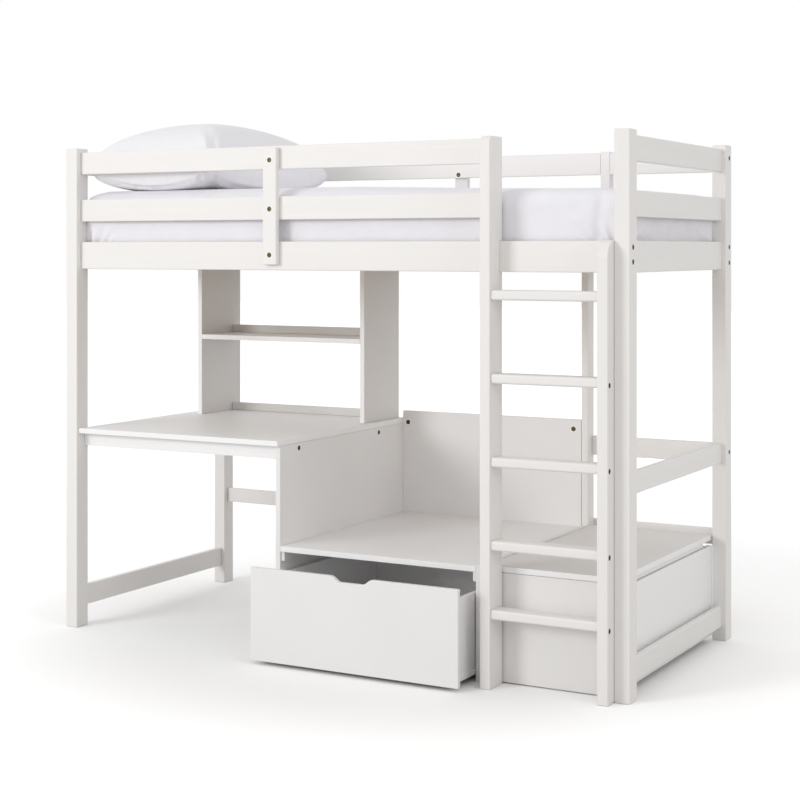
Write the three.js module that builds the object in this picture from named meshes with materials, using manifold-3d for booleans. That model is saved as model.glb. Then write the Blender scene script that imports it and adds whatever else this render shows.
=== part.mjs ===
// A white timber loft bed: a slatted sleeping deck with guard rails and a ladder, over a desk with
// a shelf unit, a sofa seat with a rolling drawer under it, and a storage box with a hinged lid.
// Millimetres, +Z up. X runs along the bed, Y from its front to its back, and the floor is Z = 0.
import * as THREE from "three";
import { mergeVertices } from "three/addons/utils/BufferGeometryUtils.js";
import { ConvexGeometry } from "three/addons/geometries/ConvexGeometry.js";
import Module from "manifold-3d";

const wasm = await Module();
wasm.setup();

// Clearances and edge chamfers.
const GAP = 0.3; // left wherever two pieces meet
const TIMBER_EASE = 1.6;
const PANEL_EASE = 0.8;
const WELD_DISTANCE = 1e-3; // corners nearer than this are one
const ARC_DIVISIONS = 5; // faces around a rounded edge

// The frame: four posts with rails centred on them.
const BED_LENGTH = 2080;
const BED_DEPTH = 984;
const POST_WIDTH = 48; // along X
const POST_DEPTH = 62; // along Y
const POST_HEADROOM = 14; // post above the top guard rail
const RAIL_THICKNESS = 20;
const SIDE_RAIL_BOTTOM = 1254;
const SIDE_RAIL_HEIGHT = 94;
const LOWER_GUARD_GAP = 71;
const UPPER_GUARD_GAP = 88;
const GUARD_RAIL_HEIGHT = 77;
const CROSS_RAIL_BOTTOM = 601;
const CROSS_RAIL_HEIGHT = 67;
const RIGHT_LOW_RAIL_BOTTOM = 48;
const LEFT_LOW_RAIL_BOTTOM = 68;
const END_LOW_RAIL_HEIGHT = 70;
const BACK_LOW_RAIL_BOTTOM = 320;
const BACK_LOW_RAIL_HEIGHT = 54;

// Battens that tie the guard rails to the side rails, outside them.
const BATTEN_WIDTH = 52;
const BATTEN_THICKNESS = 20;
const BATTEN_FOOT_RISE = 18; // above the side rail's bottom
const BATTEN_HEAD_DROP = 6; // below the top guard rail's top
const FRONT_BATTEN_X = -197.5;
const BACK_BATTEN_X = 30;

// The slatted deck, on a ledger glued along each side rail.
const LEDGER_SIZE = 20;
const LEDGER_RISE = 36; // above the side rail's bottom
const SLAT_COUNT = 15;
const SLAT_WIDTH = 68;
const SLAT_THICKNESS = 18;
const SLAT_END_PLAY = 7; // from the posts' inner faces
const SLAT_SIDE_PLAY = 4; // from the side rails
const TAPE_WIDTH = 25;
const TAPE_THICKNESS = 1;
const TAPE_BITE = 0.5; // how far the stapled tape is let into the slats
const TAPE_OFFSET = 230; // from the middle of the deck

// Mattress and pillow.
const MATTRESS_SIDE_PLAY = 3;
const MATTRESS_END_PLAY = 8;
const MATTRESS_THICKNESS = 180; // at its edge
const MATTRESS_CROWN = 18; // further rise of the middle
const MATTRESS_CROWN_REACH = 90; // from the rounded edge to the flat middle
const MATTRESS_CORNER = 36; // corner radius, seen from above
const MATTRESS_BOTTOM_ROUND = 24;
const MATTRESS_TOP_ROUND = 30;
const MATTRESS_WAIST = 5; // how far the sides are drawn in
const MATTRESS_STEPS = 4; // levels in each rounded edge
const MATTRESS_CORNER_STEPS = 5;
const PILLOW_LENGTH = 538; // along the bed
const PILLOW_WIDTH = 833; // across the bed
const PILLOW_HEIGHT = 247;
const PILLOW_SEAM_HEIGHT = 80;
const PILLOW_SEAM_TILT = 13; // seam's rise at the left end, and its fall at the other
const PILLOW_BASE_SHARE = 0.47; // flat underside, as a share of the outline
const PILLOW_WAIST = 0.04; // sides drawn in between the corners, as a share
const PILLOW_ROUNDNESS = 12; // exponent of the outline at the seam
const PILLOW_BASE_ROUNDNESS = 2.6;
const PILLOW_CROWN_ROUNDNESS = 3;
const PILLOW_FULLNESS = 0.852; // exponent of the crown's width
const PILLOW_RISE = 0.983; // exponent of the crown's height
const PILLOW_FORWARD = 24; // towards the front of the bed
const PILLOW_END_PLAY = 4; // from the left end rails
const PILLOW_SIDES = 56; // points around each level
const PILLOW_BASE_LEVELS = 5;
const PILLOW_CROWN_LEVELS = 10;

// The ladder.
const STILE_THICKNESS = 34;
const STILE_FORWARD = 50; // in front of the posts' front faces
const LADDER_OPENING = 341; // clear width between the stiles
const STILE_TOP_DROP = 10; // long stile's top below the posts' tops
const LONG_STILE_ROUND = 20;
const SHORT_STILE_HEIGHT = 1350;
const SHORT_STILE_ROUND = 52;
const RUNG_THICKNESS = 30;
const RUNG_DEPTH = 62;
const RUNG_SETBACK = 7; // behind the stiles' front faces
const RUNG_ROUND = 6;
const FIRST_RUNG_TOP = 240;
const TOP_RUNG_TOP = 1200;
const RUNG_PITCH = 251;
const PITCHED_RUNGS = 4; // rungs above the first one

// The upright behind the seat, which carries the middle of the back.
const UPRIGHT_WIDTH = 24;
const UPRIGHT_DEPTH = 56.7;

// Panels: desk, shelf unit, seat and storage box.
const BOARD = 18;
const DESK_LENGTH = 820;
const DESK_HEIGHT = 697;
const DESK_FRONT_INSET = 9; // behind the posts' front faces
const DESK_BACK_INSET = 64; // before the posts' back faces
const PANEL_SETBACK = 18; // panels' front edges behind the desk's front edge
const APRON_HEIGHT = 45;
const APRON_SEAT = 1; // apron's back face before the front posts' back faces
const HUTCH_DEPTH = 265;
const HUTCH_BACK_INSET = 18; // before the desk's back edge
const HUTCH_LEFT_INSET = 70; // from the desk's left end
const HUTCH_RIGHT_INSET = 26; // from the desk's right end
const HUTCH_LAP = 8; // side panels' tops above the side rails' bottoms
const SHELF_RISE = 303; // shelf's top above the desk's top
const STRIP_HEIGHT = 29;
const STRIP_INSET = 37; // back strips before the side panels' back edges
const SEAT_HEIGHT = 352;
const SEAT_BACK_TOP = 725;
const CLEAT_WIDTH = 13;
const CLEAT_HEIGHT = 30;
const CLEAT_END_INSET = 6;

// The storage box and its lid, hinged along the left edge.
const LID_HEIGHT = 356;
const BOX_STAND_OFF = 30.7; // box's left side panel from the ladder's long stile
const LID_HINGE_GAP = 8;
const LID_END_PLAY = 3;
const LID_FRONT_OVERHANG = 3;
const LID_BACK_INSET = 67; // before the posts' back faces
const LID_SHADOW_GAP = 19; // between the lid and the rim of the end and back panels
const LID_FRONT_GAP = 1.5; // between the lid and the front panel
const BOX_FRONT_SETBACK = 22; // behind the other panels' front edges
const BOX_END_INSET = 2; // from the right posts
const BOX_END_CLEARANCE = 16; // end panel above the floor
const BOX_FRONT_CLEARANCE = 3; // front panel above the floor
const BOX_BACK_REACH = 11; // end panel's back edge behind the lid's
const BOX_FLOOR_HEIGHT = 40;
const BOX_FLOOR_THICKNESS = 12;
const REST_FRONT_INSET = 24; // batten under the lid, from the lid's front edge
const REST_BACK_INSET = 64;
const REST_SIDE_INSET = 7; // from the end panel's outer face
const REST_CLEARANCE = 3; // above the end panel's rim
const KNUCKLE_RADIUS = 2.5;
const KNUCKLE_COUNT = 5;
const KNUCKLE_GAP = 0.6; // along the pin
const KNUCKLE_POCKET = 3.5; // recess in the lid for the fixed knuckles
const KNUCKLE_SIDES = 12;
const HINGE_END_INSET = 45; // from the lid's front edge and the upright
const LEAF_THICKNESS = 1.2;

// The drawer, which rolls on the floor; it stands partly open.
const DRAWER_OPEN = 137;
const DRAWER_FRONT_THICKNESS = 16;
const DRAWER_FRONT_BOTTOM = 12;
const DRAWER_FRONT_TOP = 308;
const DRAWER_OVERLAY = 15; // front past the opening's sides
const DRAWER_SHUT_PLAY = 2;
const DRAWER_SIDE_PLAY = 5;
const DRAWER_DEPTH = 780;
const DRAWER_WALL = 16;
const DRAWER_WALL_TOP = 270;
const DRAWER_SKIRT_TOP = 38; // board along the foot of each side
const DRAWER_SKIRT_BOTTOM = 20;
const DRAWER_SKIRT_REACH = 2; // past the drawer's side
const DRAWER_FLOOR_TOP = 78;
const DRAWER_FLOOR_THICKNESS = 20;
const NOTCH_TOP_WIDTH = 138;
const NOTCH_BOTTOM_WIDTH = 89;
const NOTCH_DEPTH = 18;
const WHEEL_RADIUS = 22;
const WHEEL_WIDTH = 18;
const WHEEL_EDGE = 2;
const WHEEL_SIDES = 24;
const AXLE_RADIUS = 4;
const AXLE_PLAY = 0.4;
const AXLE_SIDES = 12;
const CHEEK_THICKNESS = 3;
const CHEEK_WIDTH = 26;
const CHEEK_GAP = 0.8; // beside the wheel
const CHEEK_DROP = 9; // below the axle
const CHEEK_BITE = 1; // let into the drawer's floor
const WHEEL_SIDE_INSET = 60; // from the drawer's sides
const WHEEL_END_INSET = 90; // from the drawer's ends

// Places worked out from the sizes above.
const halfLength = BED_LENGTH / 2;
const halfDepth = BED_DEPTH / 2;
const postInnerX = halfLength - POST_WIDTH;
const postInnerY = halfDepth - POST_DEPTH;
const railOuterY = halfDepth - (POST_DEPTH - RAIL_THICKNESS) / 2;
const railInnerY = railOuterY - RAIL_THICKNESS;
const endOuterX = halfLength - (POST_WIDTH - RAIL_THICKNESS) / 2;
const endInnerX = endOuterX - RAIL_THICKNESS;
const sideRail = [SIDE_RAIL_BOTTOM, SIDE_RAIL_BOTTOM + SIDE_RAIL_HEIGHT];
const middleGuard = above(sideRail[1], LOWER_GUARD_GAP, GUARD_RAIL_HEIGHT);
const topGuard = above(middleGuard[1], UPPER_GUARD_GAP, GUARD_RAIL_HEIGHT);
const crossRail = above(CROSS_RAIL_BOTTOM, 0, CROSS_RAIL_HEIGHT);
const ledger = above(SIDE_RAIL_BOTTOM, LEDGER_RISE, LEDGER_SIZE);
const postHeight = topGuard[1] + POST_HEADROOM;
const longStileHeight = postHeight - STILE_TOP_DROP;
const shortStile = below(postInnerX, GAP, STILE_THICKNESS);
const longStile = below(shortStile[0], LADDER_OPENING, STILE_THICKNESS);
const stileFrontY = -halfDepth - STILE_FORWARD;
const slatBottom = ledger[1] + GAP;
const mattressBottom = slatBottom + SLAT_THICKNESS + GAP;
const mattressTop = mattressBottom + MATTRESS_THICKNESS + MATTRESS_CROWN;
const deskFrontY = -halfDepth + DESK_FRONT_INSET;
const deskBackY = halfDepth - DESK_BACK_INSET;
const deskLeftX = -postInnerX + GAP;
const deskRightX = -postInnerX + DESK_LENGTH;
const deskUnderside = DESK_HEIGHT - BOARD;
const panelFrontY = deskFrontY + PANEL_SETBACK;
const deskSideX = [deskRightX - BOARD, deskRightX];
const hutchBackY = deskBackY - HUTCH_BACK_INSET;
const hutchLeftX = above(deskLeftX, HUTCH_LEFT_INSET, BOARD);
const hutchRightX = below(deskRightX, HUTCH_RIGHT_INSET, BOARD);
const storageSideX = below(longStile[0], BOX_STAND_OFF, BOARD);
const uprightX = above(storageSideX[0], 0, UPRIGHT_WIDTH);
const uprightY = below(railInnerY, GAP, UPRIGHT_DEPTH);
const seatBackY = below(hutchBackY, 0, BOARD);
const seatUnderside = SEAT_HEIGHT - BOARD;
const lidX = [storageSideX[1] + LID_HINGE_GAP, postInnerX - LID_END_PLAY];
const boxFrontY = above(panelFrontY, BOX_FRONT_SETBACK, BOARD);
const lidY = [boxFrontY[0] - LID_FRONT_OVERHANG, halfDepth - LID_BACK_INSET];
const lidUnderside = LID_HEIGHT - BOARD;
const boxRim = lidUnderside - LID_SHADOW_GAP;
const boxEndX = below(postInnerX, BOX_END_INSET, BOARD);
const boxBackY = above(uprightY[0], 0, BOARD);
const drawerX = [deskSideX[1] + DRAWER_SIDE_PLAY, storageSideX[0] - DRAWER_SIDE_PLAY];
const drawerLeftX = above(drawerX[0], 0, DRAWER_WALL);
const drawerRightX = below(drawerX[1], 0, DRAWER_WALL);
const drawerInnerX = [drawerLeftX[1] + GAP, drawerRightX[0] - GAP];
const drawerFrontY = below(panelFrontY, DRAWER_SHUT_PLAY, DRAWER_FRONT_THICKNESS);
const drawerY = above(drawerFrontY[1], GAP, DRAWER_DEPTH);
const drawerBackY = below(drawerY[1], 0, DRAWER_WALL);

// Materials.
const timberPaint = paint(0xf1efea, 0.45);
const panelPaint = paint(0xefedea, 0.5);
const slatWood = paint(0xd9bd92, 0.7);
const mattressCloth = paint(0xf3f3f6, 0.95);
const pillowCloth = paint(0xf0f0f5, 0.95);
const wheelPlastic = paint(0x3b3b3d, 0.55);

function paint(color, roughness) {
  return new THREE.MeshStandardMaterial({ color, roughness, metalness: 0 });
}

// An interval that starts some distance above, or ends some distance below, a value.
function above(from, distance, length) {
  return [from + distance, from + distance + length];
}

function below(from, distance, length) {
  return [from - distance - length, from - distance];
}

function around(centre, length) {
  return [centre - length / 2, centre + length / 2];
}

function mirrored([low, high], side) {
  return side > 0 ? [low, high] : [-high, -low];
}

// A board between three intervals, with all its edges chamfered, built about its own centre.
function boardGeometry(x, y, z, ease) {
  const half = [x, y, z].map(([low, high]) => (high - low) / 2);
  const points = [];
  for (const signX of [-1, 1]) {
    for (const signY of [-1, 1]) {
      for (const signZ of [-1, 1]) {
        const sign = [signX, signY, signZ];
        for (let full = 0; full < sign.length; full++) {
          const corner = sign.map((s, i) => s * (half[i] - (i === full ? 0 : ease)));
          points.push(new THREE.Vector3(...corner));
        }
      }
    }
  }
  return new ConvexGeometry(points);
}

function middle([low, high]) {
  return (low + high) / 2;
}

function board(name, x, y, z, material, ease) {
  const mesh = new THREE.Mesh(boardGeometry(x, y, z, ease), material);
  mesh.name = name;
  mesh.position.set(middle(x), middle(y), middle(z));
  return mesh;
}

function timber(name, x, y, z) {
  return board(name, x, y, z, timberPaint, TIMBER_EASE);
}

function panel(name, x, y, z) {
  return board(name, x, y, z, panelPaint, PANEL_EASE);
}

// An outline drawn in Y and Z, given a thickness along X, with both faces' edges chamfered.
function acrossX(shape, x, ease) {
  const geometry = thickened(shape, x[1] - x[0], ease);
  const basis = new THREE.Matrix4().makeBasis(
    new THREE.Vector3(0, 1, 0),
    new THREE.Vector3(0, 0, 1),
    new THREE.Vector3(1, 0, 0),
  );
  return geometry.applyMatrix4(basis);
}

// An outline drawn in X and Z, given a thickness along Y.
function acrossY(shape, y, ease) {
  const geometry = thickened(shape, y[1] - y[0], ease);
  return geometry.rotateX(Math.PI / 2);
}

function thickened(shape, thickness, ease) {
  const geometry = new THREE.ExtrudeGeometry(shape, {
    depth: thickness - 2 * ease,
    bevelThickness: ease,
    bevelSize: ease,
    bevelOffset: -ease,
    bevelSegments: 1,
    curveSegments: ARC_DIVISIONS,
  });
  return geometry.translate(0, 0, ease - thickness / 2);
}

// Joining and cutting closed shapes.
function solid(mesh) {
  mesh.updateMatrixWorld();
  const plain = mesh.geometry.clone().applyMatrix4(mesh.matrixWorld);
  plain.deleteAttribute("normal");
  plain.deleteAttribute("uv");
  const merged = mergeVertices(plain, WELD_DISTANCE);
  return new wasm.Manifold(
    new wasm.Mesh({
      numProp: 3,
      vertProperties: merged.attributes.position.array,
      triVerts: new Uint32Array(merged.index.array),
    }),
  );
}

function meshOf(name, manifold, material) {
  const { vertProperties, triVerts } = manifold.getMesh();
  const geometry = new THREE.BufferGeometry();
  geometry.setAttribute("position", new THREE.BufferAttribute(vertProperties, 3));
  geometry.setIndex(new THREE.BufferAttribute(triVerts, 1));
  geometry.computeVertexNormals();
  const mesh = new THREE.Mesh(geometry, material);
  mesh.name = name;
  return mesh;
}

function joined(name, meshes, material) {
  const [first, ...rest] = meshes.map(solid);
  return meshOf(name, rest.reduce((sum, next) => sum.add(next), first), material);
}

function pin(x, y, z, radius, sides, axis) {
  const length = axis === "x" ? x[1] - x[0] : y[1] - y[0];
  const mesh = new THREE.Mesh(new THREE.CylinderGeometry(radius, radius, length, sides));
  if (axis === "x") mesh.rotation.z = Math.PI / 2;
  mesh.position.set(middle(x), middle(y), z);
  return mesh;
}

function posts() {
  const names = { left: -1, right: 1 };
  return Object.entries(names).flatMap(([end, signX]) =>
    Object.entries({ front: -1, back: 1 }).map(([side, signY]) =>
      timber(
        `post_${side}_${end}`,
        mirrored([postInnerX, halfLength], signX),
        mirrored([postInnerY, halfDepth], signY),
        [0, postHeight],
      ),
    ),
  );
}

// A side rail with the slat ledger glued along its inner face.
function sideRailWithLedger(name, side) {
  const x = [-postInnerX + GAP, postInnerX - GAP];
  const rail = timber(name, x, mirrored([railInnerY, railOuterY], side), sideRail);
  const strip = timber(
    name,
    x,
    mirrored([railInnerY - LEDGER_SIZE, railInnerY + TIMBER_EASE], side),
    ledger,
  );
  return joined(name, [rail, strip], timberPaint);
}

function frontRails() {
  const y = [-railOuterY, -railInnerY];
  const x = [-postInnerX + GAP, longStile[0] - GAP];
  return [
    timber("front_guard_rail_top", x, y, topGuard),
    timber("front_guard_rail_middle", x, y, middleGuard),
    sideRailWithLedger("front_side_rail", -1),
    batten("front_guard_batten", FRONT_BATTEN_X, -1),
  ];
}

function backRails() {
  const y = [railInnerY, railOuterY];
  const left = [-postInnerX + GAP, longStile[0] - GAP];
  const right = [longStile[1] + GAP, postInnerX - GAP];
  const full = [left[0], right[1]];
  const low = above(BACK_LOW_RAIL_BOTTOM, 0, BACK_LOW_RAIL_HEIGHT);
  const crossX = [uprightX[1] + GAP, postInnerX - GAP];
  const crossY = [uprightY[1] - RAIL_THICKNESS, uprightY[1]];
  return [
    timber("back_guard_rail_top", left, y, topGuard),
    timber("back_guard_rail_top_short", right, y, topGuard),
    timber("back_guard_rail_middle", left, y, middleGuard),
    sideRailWithLedger("back_side_rail", 1),
    batten("back_guard_batten", BACK_BATTEN_X, 1),
    timber("back_low_rail", full, y, low),
    timber("back_cross_rail", crossX, crossY, crossRail),
  ];
}

function batten(name, x, side) {
  const y = mirrored(above(railOuterY, GAP, BATTEN_THICKNESS), side);
  const z = [sideRail[0] + BATTEN_FOOT_RISE, topGuard[1] - BATTEN_HEAD_DROP];
  return timber(name, around(x, BATTEN_WIDTH), y, z);
}

function endRails() {
  const y = [-postInnerY + GAP, postInnerY - GAP];
  const rightLow = above(RIGHT_LOW_RAIL_BOTTOM, 0, END_LOW_RAIL_HEIGHT);
  const leftLow = above(LEFT_LOW_RAIL_BOTTOM, 0, END_LOW_RAIL_HEIGHT);
  const levels = { top: topGuard, middle: middleGuard, bed: sideRail };
  const rails = Object.entries({ left: -1, right: 1 }).flatMap(([end, sign]) =>
    Object.entries(levels).map(([level, z]) =>
      timber(`${end}_end_rail_${level}`, mirrored([endInnerX, endOuterX], sign), y, z),
    ),
  );
  rails.push(timber("left_low_rail", [-endOuterX, -endInnerX], y, leftLow));
  rails.push(timber("right_low_rail", [endInnerX, endOuterX], y, rightLow));
  rails.push(timber("right_cross_rail", [endInnerX, endOuterX], y, crossRail));
  return rails;
}

// The short post between the back guard rails: it stands on the side rail and laps its outside.
function backShortPost() {
  const shape = new THREE.Shape();
  shape.moveTo(railInnerY, sideRail[1] + GAP);
  shape.lineTo(railOuterY + GAP, sideRail[1] + GAP);
  shape.lineTo(railOuterY + GAP, sideRail[0]);
  shape.lineTo(halfDepth, sideRail[0]);
  shape.lineTo(halfDepth, longStileHeight);
  shape.lineTo(railInnerY, longStileHeight);
  return profiled("back_short_post", shape, longStile);
}

function profiled(name, shape, x) {
  const mesh = new THREE.Mesh(acrossX(shape, x, TIMBER_EASE), timberPaint);
  mesh.name = name;
  mesh.position.x = middle(x);
  return mesh;
}

// The long stile reaches from the floor to the top guard rail and is notched over the side rail.
function ladderStileLong() {
  const shape = new THREE.Shape();
  shape.moveTo(stileFrontY, 0);
  shape.lineTo(-railInnerY, 0);
  shape.lineTo(-railInnerY, sideRail[0] - GAP);
  shape.lineTo(-railOuterY - GAP, sideRail[0] - GAP);
  shape.lineTo(-railOuterY - GAP, sideRail[1] + GAP);
  shape.lineTo(-railInnerY, sideRail[1] + GAP);
  shape.lineTo(-railInnerY, longStileHeight);
  roundedFrontTop(shape, longStileHeight, LONG_STILE_ROUND);
  return profiled("ladder_stile_long", shape, longStile);
}

function ladderStileShort() {
  const shape = new THREE.Shape();
  shape.moveTo(stileFrontY, 0);
  shape.lineTo(-railOuterY - GAP, 0);
  shape.lineTo(-railOuterY - GAP, SHORT_STILE_HEIGHT);
  roundedFrontTop(shape, SHORT_STILE_HEIGHT, SHORT_STILE_ROUND);
  return profiled("ladder_stile_short", shape, shortStile);
}

function roundedFrontTop(shape, height, radius) {
  const y = stileFrontY + radius;
  shape.lineTo(y, height);
  shape.absarc(y, height - radius, radius, Math.PI / 2, Math.PI, false);
}

function ladderRungs() {
  const tops = [FIRST_RUNG_TOP];
  for (let step = PITCHED_RUNGS - 1; step >= 0; step--) {
    tops.push(TOP_RUNG_TOP - step * RUNG_PITCH);
  }
  const x = [longStile[1] + GAP, shortStile[0] - GAP];
  const section = roundedSection(RUNG_DEPTH, RUNG_THICKNESS, RUNG_ROUND);
  const y = stileFrontY + RUNG_SETBACK + RUNG_DEPTH / 2;
  return tops.map((top, index) => {
    const rung = profiled(`ladder_rung_${index + 1}`, section, x);
    rung.position.y = y;
    rung.position.z = top - RUNG_THICKNESS / 2;
    return rung;
  });
}

function roundedSection(width, height, radius) {
  const shape = new THREE.Shape();
  const u = width / 2 - radius;
  const v = height / 2 - radius;
  shape.absarc(u, -v, radius, -Math.PI / 2, 0, false);
  shape.absarc(u, v, radius, 0, Math.PI / 2, false);
  shape.absarc(-u, v, radius, Math.PI / 2, Math.PI, false);
  shape.absarc(-u, -v, radius, Math.PI, 1.5 * Math.PI, false);
  return shape;
}

// Slats in an even row, joined into one mat by two woven tapes underneath.
function slatMat() {
  const reach = postInnerX - SLAT_END_PLAY;
  const halfSlat = railInnerY - SLAT_SIDE_PLAY;
  const pitch = (2 * reach - SLAT_WIDTH) / (SLAT_COUNT - 1);
  const z = above(slatBottom, 0, SLAT_THICKNESS);
  const pieces = [];
  for (let i = 0; i < SLAT_COUNT; i++) {
    const x = above(-reach, i * pitch, SLAT_WIDTH);
    pieces.push(board("slat", x, [-halfSlat, halfSlat], z, slatWood, PANEL_EASE));
  }
  const tapeX = [-reach + SLAT_WIDTH / 2, reach - SLAT_WIDTH / 2];
  const tapeZ = [slatBottom - TAPE_THICKNESS, slatBottom + TAPE_BITE];
  for (const side of [-1, 1]) {
    const tape = new THREE.Mesh(
      new THREE.BoxGeometry(tapeX[1] - tapeX[0], TAPE_WIDTH, tapeZ[1] - tapeZ[0]),
    );
    tape.position.set(middle(tapeX), side * TAPE_OFFSET, middle(tapeZ));
    pieces.push(tape);
  }
  return joined("slat_mat", pieces, slatWood);
}

// A closed skin over level loops of equal point counts, capped by a flat fan at each end.
function skinOver(loops) {
  const count = loops[0].length;
  const positions = loops.flat().flatMap((p) => [p.x, p.y, p.z]);
  const faces = [];
  for (let level = 0; level < loops.length - 1; level++) {
    for (let i = 0; i < count; i++) {
      const a = level * count + i;
      const b = level * count + ((i + 1) % count);
      faces.push(a, b, b + count, a, b + count, a + count);
    }
  }
  const last = (loops.length - 1) * count;
  for (let i = 1; i < count - 1; i++) {
    faces.push(0, i + 1, i);
    faces.push(last, last + i, last + i + 1);
  }
  const geometry = new THREE.BufferGeometry();
  geometry.setAttribute("position", new THREE.Float32BufferAttribute(positions, 3));
  geometry.setIndex(faces);
  geometry.computeVertexNormals();
  return geometry;
}

// The mattress's side from its rounded bottom edge, over the drawn-in waist, to the crown.
function mattressLevels() {
  const sideTop = MATTRESS_THICKNESS - MATTRESS_TOP_ROUND;
  const levels = [];
  for (let i = 0; i <= MATTRESS_STEPS; i++) {
    const turn = (i / MATTRESS_STEPS) * (Math.PI / 2);
    const inset = MATTRESS_BOTTOM_ROUND * (1 - Math.sin(turn));
    levels.push({ inset, z: MATTRESS_BOTTOM_ROUND * (1 - Math.cos(turn)) });
  }
  for (let i = 1; i < MATTRESS_STEPS; i++) {
    const share = i / MATTRESS_STEPS;
    const z = MATTRESS_BOTTOM_ROUND + share * (sideTop - MATTRESS_BOTTOM_ROUND);
    levels.push({ inset: MATTRESS_WAIST * Math.sin(Math.PI * share), z });
  }
  for (let i = 0; i <= MATTRESS_STEPS; i++) {
    const turn = (i / MATTRESS_STEPS) * (Math.PI / 2);
    const z = sideTop + MATTRESS_TOP_ROUND * Math.sin(turn);
    levels.push({ inset: MATTRESS_TOP_ROUND * (1 - Math.cos(turn)), z });
  }
  for (let i = 1; i <= MATTRESS_STEPS; i++) {
    const share = i / MATTRESS_STEPS;
    const inset = MATTRESS_TOP_ROUND + share * MATTRESS_CROWN_REACH;
    const z = MATTRESS_THICKNESS + MATTRESS_CROWN * Math.sin((share * Math.PI) / 2);
    levels.push({ inset, z });
  }
  return levels;
}

function mattress() {
  const halfX = endInnerX - MATTRESS_END_PLAY;
  const halfY = railInnerY - MATTRESS_SIDE_PLAY;
  const loops = mattressLevels().map(({ inset, z }) => {
    const loop = roundedSection(2 * (halfX - inset), 2 * (halfY - inset), MATTRESS_CORNER);
    return uniquePoints(loop, MATTRESS_CORNER_STEPS).map((p) => new THREE.Vector3(p.x, p.y, z));
  });
  const mesh = new THREE.Mesh(skinOver(loops), mattressCloth);
  mesh.name = "mattress";
  mesh.position.z = mattressBottom;
  return mesh;
}

function uniquePoints(shape, divisions) {
  const points = shape.getPoints(divisions);
  if (points[0].distanceTo(points[points.length - 1]) < GAP) points.pop();
  return points;
}

// One level of the pillow: an oval with its sides drawn in between the corners, squarish at the
// seam. Its height is asked for at each point, from 1 at the left end to -1 at the other.
function pillowLoop(share, roundness, heightAt) {
  const points = [];
  for (let i = 0; i < PILLOW_SIDES; i++) {
    const turn = (i / PILLOW_SIDES) * 2 * Math.PI;
    const [cos, sin] = [Math.cos(turn), Math.sin(turn)];
    const sum = Math.abs(cos) ** roundness + Math.abs(sin) ** roundness;
    const reach = sum ** (-1 / roundness);
    const u = reach * cos;
    const v = reach * sin;
    const drawX = 1 - PILLOW_WAIST * Math.cos((v * Math.PI) / 2);
    const drawY = 1 - PILLOW_WAIST * Math.cos((u * Math.PI) / 2);
    const x = (u * drawX * share * PILLOW_LENGTH) / 2;
    const y = (v * drawY * share * PILLOW_WIDTH) / 2;
    points.push(new THREE.Vector3(x, y, heightAt(-u)));
  }
  return points;
}

function pillowRoundness(turn, end) {
  return end + (PILLOW_ROUNDNESS - end) * Math.cos(turn) ** 3;
}

function pillow() {
  const seamAt = (leftness) => PILLOW_SEAM_HEIGHT + PILLOW_SEAM_TILT * leftness;
  const loops = [];
  for (let i = PILLOW_BASE_LEVELS; i > 0; i--) {
    const turn = (i / PILLOW_BASE_LEVELS) * (Math.PI / 2);
    const share = PILLOW_BASE_SHARE + (1 - PILLOW_BASE_SHARE) * Math.cos(turn);
    const roundness = pillowRoundness(turn, PILLOW_BASE_ROUNDNESS);
    const heightAt = (leftness) => seamAt(leftness) * (1 - Math.sin(turn));
    loops.push(pillowLoop(share, roundness, heightAt));
  }
  for (let i = 0; i < PILLOW_CROWN_LEVELS; i++) {
    const turn = (i / PILLOW_CROWN_LEVELS) * (Math.PI / 2);
    const rise = Math.sin(turn) ** PILLOW_RISE;
    const heightAt = (leftness) => seamAt(leftness) + (PILLOW_HEIGHT - seamAt(leftness)) * rise;
    const roundness = pillowRoundness(turn, PILLOW_CROWN_ROUNDNESS);
    loops.push(pillowLoop(Math.cos(turn) ** PILLOW_FULLNESS, roundness, heightAt));
  }
  const mesh = new THREE.Mesh(skinOver(loops), pillowCloth);
  mesh.name = "pillow";
  mesh.position.x = -endInnerX + PILLOW_END_PLAY + PILLOW_LENGTH / 2;
  mesh.position.y = -PILLOW_FORWARD;
  mesh.position.z = mattressTop + GAP;
  return mesh;
}

function desk() {
  const apronBack = -postInnerY - APRON_SEAT;
  const apronX = [deskLeftX, deskSideX[0] - GAP];
  const apronZ = below(deskUnderside, GAP, APRON_HEIGHT);
  return [
    panel("desk_top", [deskLeftX, deskRightX], [deskFrontY, deskBackY], [
      deskUnderside,
      DESK_HEIGHT,
    ]),
    panel("desk_front_apron", apronX, [apronBack - BOARD, apronBack], apronZ),
    panelWithCleat("desk_side_panel", deskSideX, 1, deskUnderside - GAP, railInnerY - GAP),
  ];
}

// A standing side panel with the seat's cleat glued along its seat side.
function panelWithCleat(name, x, side, height, backY) {
  const upright = panel(name, x, [panelFrontY, backY], [0, height]);
  const face = side > 0 ? x[1] : x[0];
  const cleatX = [face - side * PANEL_EASE, face + side * CLEAT_WIDTH].sort((a, b) => a - b);
  const cleatY = [panelFrontY + CLEAT_END_INSET, seatBackY[0] - CLEAT_END_INSET];
  const cleatZ = below(seatUnderside, GAP, CLEAT_HEIGHT);
  return joined(name, [upright, panel("cleat", cleatX, cleatY, cleatZ)], panelPaint);
}

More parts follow.
